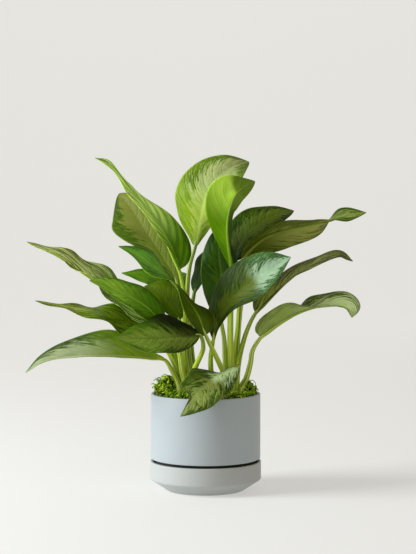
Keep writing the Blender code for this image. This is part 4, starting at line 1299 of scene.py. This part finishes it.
LEAVES: dict[str, Leaf] = {
    "leaf_upper_left": Leaf(
        crown=Crown.LEFT_FRONT, widest=0.25, taper=1.5, quilt=2,
        stalk=((-22.5, -13, 145), (-28.5, -10, 190), (-27.5, -8, 250)),
        rib=((-36, -8, 301), (-58.5, -18, 352.5), (-101.5, -28, 410), (-130, -31, 444.5),
             (-148, -34, 452.5)),
        face=((0.7, -0.55, 0.45), (0.7, -0.55, 0.45), (0.6, -0.6, 0.53)),
        half=((16, 43), (20, 38), (25, 30), (26, 21), (28, 14), (30, 14), (150, 120)),
        fold=((40, 25), (24, 22), (18, 20)),
        reach=((0.9, 0.8), (0.95, 0.9), (0.9, 0.9)),
        finish=LeafFinish(margin=((46, 80, 5), (118, 150, 62)), pale=((72, 114, 14), (146, 178, 134)),
                          under=((100, 120, 55), (120, 140, 80)), rib=(165, 205, 70), veins=9, middle=0.8,
                          swell_highlight=1, lift=1.7, turn=(0.15, 0.5), shade=(0, 0, 0.35, 0.65), shade_from=0.86),
    ),
    "leaf_upper_left_behind": Leaf(
        crown=Crown.LEFT_BACK, widest=0.52, taper=0.75,
        stalk=((-26, 21, 145), (-28, 22, 190), (-31, 25, 240)),
        rib=((-39, 28, 282), (-59, 36, 316), (-83, 46, 352), (-104, 58, 384), (-122, 74, 405)),
        face=((-0.4, -0.8, 0.45), (-0.35, -0.8, 0.48)),
        half=((12, 26), (20, 26.5), (18.3, 27), (18.5, 27.5), (18.5, 28), (19.6, 28.5), (20.5, 29),
              (22, 29.5), (25.5, 30), (31.2, 30), (36.8, 30), (42.3, 30), (45.4, 30), (42.2, 30),
              (39.5, 30), (37, 30), (37, 30)),
        fold=((10, 10),),
        reach=((0.5, 0.8), (0.62, 0.9), (0.6, 1.1)),
        finish=LeafFinish(margin=((42, 64, 3), (50, 76, 3)), pale=((82, 96, 44), (98, 106, 66)),
                          rib=(120, 130, 70), flecks=0.6, feather=0.5, middle=0.1, mottle=0.15, lines=0.05),
    ),
    "leaf_top": Leaf(
        crown=Crown.LEFT_BACK, widest=0.42, taper=0.78,
        stalk=((-20, 15, 145), (-24, 12, 190), (-25.5, 13, 260), (-22, 15, 304)),
        rib=((-14, 16, 333), (-9, 12, 363), (-1, 10, 398), (14, 14, 424), (34, 24, 440), (60, 44, 449)),
        face=((-0.4, -0.88, 0.2), (-0.42, -0.88, 0.22), (-0.35, -0.85, 0.4)),
        half=((20, 12), (22.2, 16.1), (30.2, 21.6), (36.4, 25.5), (39.5, 28.5), (42.4, 30), (45.7, 30),
              (46.2, 30), (46, 30), (45.5, 31), (45, 32.6), (44.2, 40.5), (43.3, 45.8), (42.5, 43.2),
              (41.5, 39.4), (40.8, 37), (40, 36)),
        fold=((8, 25), (10, 25)),
        reach=((0.3, 0.5), (0.42, 0.7), (0.5, 0.8), (0.58, 0.8), (0.62, 0.8), (0.6, 0.35), (0.5, -0.3)),
        finish=LeafFinish(margin=((96, 124, 2), (76, 102, 3)), pale=((136, 154, 92), (150, 162, 152)),
                          rib=(150, 170, 110), flecks=0.9, middle=0, lines=0.02, turn=(0.25, 0.6),
                          feather=0.5, mottle=0.6),
    ),
    "leaf_top_front": Leaf(
        crown=Crown.RIGHT_FRONT, taper=0.75, widest=0.6,
        stalk=((37, -9, 145), (34.5, -8, 190), (34.5, -8, 240), (36, -11, 280)),
        rib=((34, -14, 305), (29, -20, 335), (28, -24, 364), (33, -26, 388), (44, -20, 408), (67, -2, 421)),
        face=((-0.6, 0.8, 0.1), (-0.62, 0.78, 0.05), (-0.6, 0.7, -0.2)),
        half=((22, 18), (23, 22), (25, 37), (28, 22)),
        fold=((36, 36),),
        reach=((1.3, 1.3),),
        # painted light: its underside's second colour is brightened for the lit top of the lobe
        finish=LeafFinish(margin=((50, 70, 2), (60, 82, 6)), under=((88, 132, 2), (160, 200, 100)),
                          pale=((56, 76, 4), (70, 92, 16)), rib=(112, 160, 24), lines=0, turn=(0.42, 0.74),
                          shade=(0.8, 0, 0, 0.86), shade_from=0.71),
    ),
    "leaf_upper_right_behind": Leaf(
        crown=Crown.RIGHT_BACK, widest=0.38, taper=0.9,
        stalk=((34, 27, 145), (34, 32, 190), (34, 38, 240), (36, 43, 280)),
        rib=((39, 46, 312), (52, 50, 341), (75, 58, 362), (102, 72, 375), (125, 90, 381)),
        face=((-0.35, -0.75, 0.55), (-0.2, -0.75, 0.6)),
        half=((36, 26), (33, 26)),
        reach=((0.6, 0.5), (0.65, 0.6), (0.6, 0.5)),
        finish=LeafFinish(margin=((28, 54, 3), (36, 60, 4)), pale=((84, 104, 62), (92, 110, 46)),
                          rib=(110, 125, 60), flecks=0.9, middle=0.05, lines=0.03, feather=0.5,
                          shade=(0, 0.35, 0.8, 0)),
    ),
    "leaf_upper_right": Leaf(
        crown=Crown.RIGHT_BACK, widest=0.38,
        stalk=((40, 13, 145), (41.5, 8, 190), (44.5, 7, 220), (47, 7, 260)),
        rib=((51, 10, 315), (74, 12, 341), (103, 14, 354), (136, 12, 361), (170, 6, 368), (194, 0, 377),
             (218, -8, 379)),
        face=((-0.1, 0.7, 0.7), (-0.05, 0.7, 0.7), (0, 0.7, 0.7), (0, 0.73, 0.68), (0, 0.75, 0.66),
              (0, 0.62, 0.78), (0, -0.26, 0.97), (0, -0.88, 0.48), (0, -0.95, 0.3)),
        half=((30, 18), (30.5, 18), (31, 18), (31.5, 17), (32, 14), (33, 11), (32, 17), (26, 33), (25, 38)),
        fold=((-8, -8), (-4, -4), (4, 4), (16, 16), (0, 0)),
        reach=((1, 1), (0.95, 0.6), (0.85, 0), (0.45, 0.4), (0.45, 0.6)),
        finish=LeafFinish(margin=((34, 52, 2), (42, 62, 5)), under=((72, 86, 16), (132, 138, 100)),
                          pale=((100, 114, 56), (114, 128, 92)), rib=(96, 112, 16), lines=0.03, flecks=0.8,
                          turn=(0.15, 0.5), feather=0.8, lean=0.35, lift=1.6),
    ),
    "leaf_centre_right": Leaf(
        crown=Crown.MIDDLE, widest=0.5, taper=1.1,
        stalk=((8.5, -10, 145), (7.2, -20, 166), (7.2, -25, 186)),
        rib=((10.6, -30, 208), (12.5, -34, 225), (19, -40, 241), (35, -50, 263), (57, -60, 284),
             (83, -70, 304), (112, -80, 321)),
        face=((-0.5, -0.8, 0.3), (-0.3, -0.85, 0.4), (-0.2, -0.8, 0.5)),
        half=((30, 18), (34, 15), (39, 32), (50, 50)),
        reach=((0.3, 0.5), (0.4, 0.6), (0.38, 0.62), (0.45, 0.64), (0.5, 0.55)),
        # painted shade: its dark first colours reach past the middle and, with its base shade, darken the
        # base where other leaves shade it
        finish=LeafFinish(margin=((28, 50, 2), (32, 68, 8)), pale=((66, 80, 14), (124, 148, 178)),
                          rib=(84, 100, 44), turn=(0.58, 0.72), feather=0.5, flecks=0.9, middle=0,
                          lines=0.02, shade=(0, 0, 0.6, 0), slant=-0.25, mottle=0.35),
    ),
    "leaf_centre_back": Leaf(
        crown=Crown.RIGHT_BACK,
        stalk=((32, 14, 145), (27.5, 6, 170), (25.5, 4, 205)),
        rib=((21, 8, 235), (23, 12, 266), (21, 18, 300), (18, 26, 327), (21, 36, 349), (30, 48, 363)),
        face=((-0.3, -0.92, 0.2), (-0.3, -0.85, 0.4)),
        half=((29, 27),),
        fold=((10, 10),),
        reach=((0.3, 0.3), (0.5, 0.5), (0.5, 0.5)),
        finish=LeafFinish(margin=((30, 56, 4), (28, 54, 4)), pale=((50, 78, 8), (54, 88, 24)),
                          rib=(92, 128, 66), middle=0.5, lines=0.03, shade=(0, 0.3, 0.4, 0)),
    ),
    "leaf_centre_behind": Leaf(
        crown=Crown.LEFT_BACK,
        stalk=((-16, 24, 145), (-20.5, 34, 200), (-19.5, 40, 240)),
        rib=((-15.5, 42, 268), (-10, 46, 290), (0, 52, 316), (11, 61, 332), (21, 75, 342)),
        face=((-0.6, -0.35, 0.7), (-0.5, -0.35, 0.75)),
        half=((18, 20),),
        fold=((10, 10),),
        reach=((0.4, 0.4),),
        finish=LeafFinish(margin=((22, 44, 4), (24, 46, 4)), pale=((34, 60, 8), (40, 66, 12)),
                          rib=(60, 90, 30)),
    ),
    "leaf_right": Leaf(
        crown=Crown.RIGHT_BACK,
        stalk=((42.5, 13, 145), (44.5, 7, 168), (48, 2, 188), (57.5, 0, 220)),
        rib=((68.7, -2, 242.4), (88, 2, 264), (109, 8, 284), (131, 14, 300), (157, 18, 314), (185, 20, 323),
             (203, 22, 312)),
        face=((-0.45, -0.5, 0.75), (-0.4, -0.25, 0.88), (-0.1, -0.45, 0.85)),
        half=((40, 4), (23, 15), (18, 46)),
        fold=((15, 15), (10, 10)),
        reach=((0.5, 0.3), (0.55, 0.4), (0.5, 0.3)),
        finish=LeafFinish(margin=((28, 44, 3), (34, 48, 5)), pale=((112, 120, 72), (146, 150, 118)),
                          rib=(130, 135, 90), lift=1.4, flecks=0.5, feather=1.9, lean=0.5, mottle=0.3),
    ),
    "leaf_lower_right": Leaf(
        crown=Crown.RIGHT_FRONT, widest=0.34, taper=0.65,
        stalk=((50, -14, 144), (55, -16, 153), (61, -18, 175), (63.7, -21, 192)),
        rib=((74.7, -26, 210.3), (87, -30, 221.5), (104, -36, 234), (126, -42, 246.5), (150, -50, 254),
             (175, -56, 256), (189, -60, 251.5), (195, -62, 240)),
        face=((-0.2, 0.7, 0.65), (-0.1, 0.55, 0.8), (0, -0.6, 0.78), (0.35, -0.55, 0.7)),
        half=((22, 25), (20, 22), (19, 18), (26, 20), (60, 24)),
        fold=((42, 42), (38, 38)),
        reach=((1, 1), (0.95, 1), (0.8, 0.95), (0.2, 0.8), (0.55, 0.9), (0.8, 0.85), (0.8, 0.8)),
        finish=LeafFinish(margin=((50, 70, 6), (54, 74, 10)), pale=((164, 178, 180), (172, 188, 196)),
                          under=((117, 134, 100), (136, 148, 152)), rib=(140, 160, 50), lines=0.03,
                          feather=0.9, lift=1.55, lean=0.4),
    ),
    "leaf_left": Leaf(
        crown=Crown.LEFT_FRONT, widest=0.3, wave=(-4.5, 3.4),
        stalk=((-31, -15, 145), (-36, -13, 162.5), (-44.5, -11, 192), (-60, -12, 216)),
        rib=((-77, -16, 234), (-91, -20, 243), (-126, -30, 269), (-150, -38, 289), (-176, -46, 307),
             (-198, -52, 322), (-217, -56, 331), (-238, -60, 340.5)),
        face=((0.35, -0.6, 0.72), (0.35, -0.6, 0.72), (0.2, -0.5, 0.85)),
        half=((26, 32), (20, 32)),
        fold=((15, 15), (26, 15), (42, 15), (42, 15), (30, 15)),
        reach=((0.6, 0.6), (0.5, 0.55), (0.45, 0.55), (0.4, 0.5)),
        finish=LeafFinish(margin=((44, 66, 6), (84, 98, 40)), pale=((186, 212, 204), (186, 196, 196)),
                          rib=(165, 190, 80), lines=0.08, flecks=0.5, feather=1.9, lift=1.9, lean=0.5,
                          mottle=0.3),
    ),
    "leaf_left_twisted": Leaf(
        crown=Crown.LEFT_FRONT, widest=0.35, wave=(4.5, 2.8),
        stalk=((-34, -13, 145), (-41.5, -15, 171.5), (-52, -18, 192)),
        rib=((-68, -22, 216.6), (-99, -36, 230.5), (-126, -50, 242), (-149, -60, 249), (-173, -66, 252),
             (-196, -70, 257), (-225, -72, 263)),
        face=((0.2, -0.6, 0.75), (0.2, -0.6, 0.75), (0.1, -0.2, 0.95), (0.1, -0.6, 0.75)),
        half=((20, 22), (28, 24), (24, 22), (14, 12)),
        fold=((5, 5),),
        reach=((0.6, 0.4), (0.55, 0.45), (0.5, 0.5), (0.6, 0.6)),
        finish=LeafFinish(margin=((56, 82, 4), (56, 72, 6)), pale=((118, 146, 52), (150, 162, 108)),
                          under=((96, 114, 30), (120, 134, 70)), rib=(130, 150, 50), turn=(0.5, 0.75),
                          flecks=0.5, feather=1.9, lean=0.5, mottle=0.3),
    ),
    "leaf_left_front": Leaf(
        crown=Crown.LEFT_FRONT, widest=0.36, quilt=0.6,
        stalk=((-27.5, -21, 145), (-32, -22, 165.6), (-36, -24, 193.6), (-45, -28, 212)),
        rib=((-57, -34, 226), (-76, -44, 250), (-108, -58, 271), (-134, -68, 284), (-153, -76, 290)),
        face=((0.3, -0.75, 0.6), (0.25, -0.75, 0.6)),
        half=((18, 26),),
        fold=((8, 8),),
        reach=((0.7, 0.8), (0.8, 0.85), (0.8, 0.8)),
        finish=LeafFinish(margin=((52, 88, 5), (70, 110, 18)), pale=((78, 122, 22), (140, 184, 92)),
                          rib=(150, 195, 84), flecks=0.4, swell_highlight=0.2, middle=0.6, lines=0.04, lift=1.4,
                          turn=(0.2, 0.8)),
    ),
    "leaf_left_inner": Leaf(
        crown=Crown.LEFT_BACK, widest=0.45, quilt=0,
        stalk=((-25.5, 13, 145), (-27.5, 6, 180), (-31, 1, 208)),
        rib=((-36, -3, 232), (-49, 1, 252), (-64, 6, 268), (-84, 14, 278)),
        face=((0.1, -0.95, 0.3), (0.15, -0.9, 0.4)),
        half=((12, 26),),
        fold=((8, 8),),
        finish=LeafFinish(margin=((58, 78, 2), (62, 84, 4)), pale=((64, 84, 4), (78, 98, 10)),
                          rib=(110, 140, 30), lines=0, flecks=0.2, lift=1.55),
    ),
    "leaf_left_behind": Leaf(
        crown=Crown.LEFT_BACK,
        stalk=((-29, 24, 145), (-30, 30, 190), (-31, 34, 230)),
        rib=((-34, 38, 256), (-59, 44, 278), (-83, 52, 290), (-118, 62, 294)),
        face=((0.15, -0.6, 0.78), (0.15, -0.6, 0.78)),
        half=((18, 18),),
        fold=((8, 8),),
        finish=LeafFinish(margin=((64, 98, 2), (62, 98, 2)), pale=((70, 108, 4), (78, 118, 6)),
                          rib=(90, 125, 30), lift=1.3, lines=0.02),
    ),
    "leaf_centre_left": Leaf(
        crown=Crown.RIGHT_FRONT, widest=0.3,
        stalk=((32.5, -21, 145), (23, -28, 166), (11.5, -36, 191)),
        rib=((0, -44, 215), (-10, -51, 242), (-24, -56, 264), (-45, -59, 290), (-69, -62, 309),
             (-95, -65, 325), (-115, -68, 335)),
        face=((0.25, -0.9, 0.3), (0.45, -0.7, 0.45), (0.66, -0.4, 0.58), (0.78, -0.1, 0.6),
              (0.55, -0.4, 0.7), (0.35, -0.5, 0.78), (0.3, -0.5, 0.8)),
        half=((12, 24), (18, 26), (26, 10.5), (25, 7), (26, 10), (39.5, 28.6), (50, 49), (35.4, 53),
              (30, 55)),
        fold=((12, 12), (12, 4), (12, 4), (18, 18)),
        reach=((0.5, 0.5), (0.6, 0.6), (0.7, 0.7), (0.7, 0.7)),
        finish=LeafFinish(margin=((56, 72, 3), (44, 84, 10)), pale=((66, 88, 8), (106, 166, 88)),
                          rib=(140, 170, 70), middle=0.5, lines=0.05, turn=(0.35, 0.7), feather=0.9,
                          lean=0.4),
    ),
    "leaf_front_left": Leaf(
        crown=Crown.LEFT_FRONT, widest=0.45,
        stalk=((-20.5, -21, 145), (-14, -31, 170), (-3, -47.5, 198.5)),
        rib=((-8, -60, 216.5), (-26, -71, 216), (-53, -83, 214.5), (-86, -95, 214.5), (-117, -105, 216.5)),
        face=((0.05, -0.72, 0.68), (0.05, -0.66, 0.74), (0.05, -0.62, 0.78)),
        half=((26, 52), (27, 47), (28, 36), (28, 36)),
        fold=((5, 5),),
        reach=((0.75, 0.3), (0.8, 0.4), (0.8, 0.55), (0.7, 0.6)),
        # painted shade: the near-black first margin colour and the base shade darken the upper half near
        # the base
        finish=LeafFinish(margin=((22, 38, 3), (56, 90, 6)), pale=((86, 102, 56), (94, 114, 62)),
                          rib=(44, 58, 10), feather=0.5, flecks=1, shade=(0, 0.1, 0.97, 0), slant=0.42,
                          middle=0.3, lines=0.02, mottle=0.7, lift=1.9),
    ),
    "leaf_lower_left": Leaf(
        crown=Crown.LEFT_FRONT, widest=0.36,
        stalk=((-36, -21, 145), (-44.5, -21, 163)),
        rib=((-55.5, -24, 180), (-75, -29, 184), (-101, -37, 186.5), (-133, -47, 188.5), (-167, -57, 189),
             (-193, -64, 187), (-217, -70, 181), (-238, -74, 168)),
        face=((0, -0.65, 0.75), (0, -0.65, 0.75), (-0.2, -0.6, 0.75)),
        half=((3, 6), (17, 38), (22, 41), (22, 34), (22, 31)),
        fold=((46, 15),),
        reach=((1.2, 0.5), (1.2, 0.45), (1.2, 0.62), (1.2, 0.6)),
        finish=LeafFinish(margin=((126, 166, 1), (44, 70, 22)), pale=((132, 152, 84), (160, 172, 194)),
                          rib=(120, 145, 60), lines=0.02, flecks=1, feather=0.5, mottle=0.35,
                          turn=(0.25, 0.6), lean=0.4, lift=1.4),
    ),
    "leaf_over_rim": Leaf(
        crown=Crown.RIGHT_FRONT, widest=0.45,
        stalk=((40, -21, 143), (42.5, -29, 158), (44, -38, 169.5)),
        rib=((43.4, -46, 173.5), (20.5, -62, 164.5), (-0.6, -78, 151.5), (-19, -90, 133.3),
             (-33, -96, 112.5)),
        face=((-0.3, -0.75, 0.6), (-0.4, -0.85, 0.3), (-0.4, -0.9, 0.1)),
        half=((28, 5), (28.5, 5), (29, 6), (29.5, 5), (30, 4.5), (31, 14), (31.5, 24), (32.5, 33),
              (33, 32.5), (32.7, 31.4), (33.6, 31.4), (36, 31.7), (37.7, 5.8), (39.8, 3.6), (41, 3),
              (43, 3), (43, 3)),
        fold=((5, 5),),
        reach=((0.75, 0.7), (0.62, 0.55), (0.66, 0.3), (0.6, 0.35), (0.5, 0.5)),
        finish=LeafFinish(margin=((26, 50, 8), (40, 60, 3)), pale=((168, 192, 204), (106, 119, 86)),
                          rib=(120, 125, 60), turn=(0.3, 0.44), flecks=1, feather=0.8, middle=0, lines=0.03,
                          mottle=0.4, lift=1.6),
    ),
    "leaf_back_left": Leaf(
        crown=Crown.LEFT_BACK,
        stalk=((-22, 30, 145), (-26, 45, 190), (-34, 66, 235)),
        rib=((-42, 85, 262), (-52, 112, 285), (-62, 142, 292), (-70, 172, 280)),
        face=((-0.1, 0.3, 0.9), (-0.1, 0.4, 0.9)),
        half=((27, 27),),
        reach=((0.4, 0.5), (0.6, 0.65), (0.6, 0.6)),
        finish=LeafFinish(margin=((50, 90, 15), (54, 94, 18)), pale=((110, 130, 60), (150, 170, 110))),
    ),
    "leaf_back_right": Leaf(
        crown=Crown.RIGHT_BACK,
        stalk=((40, 29, 145), (44, 46, 190), (48, 67, 230)),
        rib=((52, 85, 255), (60, 112, 278), (70, 140, 286), (80, 168, 275)),
        face=((0.1, 0.3, 0.9), (0.1, 0.4, 0.9)),
        half=((27, 27),),
        reach=((0.5, 0.4), (0.65, 0.6), (0.6, 0.6)),
        finish=LeafFinish(margin=((50, 90, 15), (54, 94, 18)), pale=((110, 130, 60), (150, 170, 110))),
    ),
}


def dress_soil() -> None:
    """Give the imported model's own soil its crumbly finish."""
    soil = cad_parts["soil"]
    dress = Earth().material()
    for seat in soil.material_slots:
        seat.material = dress
    LOG.info("soil keeps its shape and is dressed")


def main() -> None:
    """Build the studio, the pot and the plant, in that order."""
    logging.basicConfig(level=logging.INFO, format="%(name)s: %(message)s")
    Studio().build()
    Ceramic().saucer()
    Ceramic().pot()
    dress_soil()
    Moss().build()
    Plant(LEAVES).build()


if __name__ == "__main__":
    main()
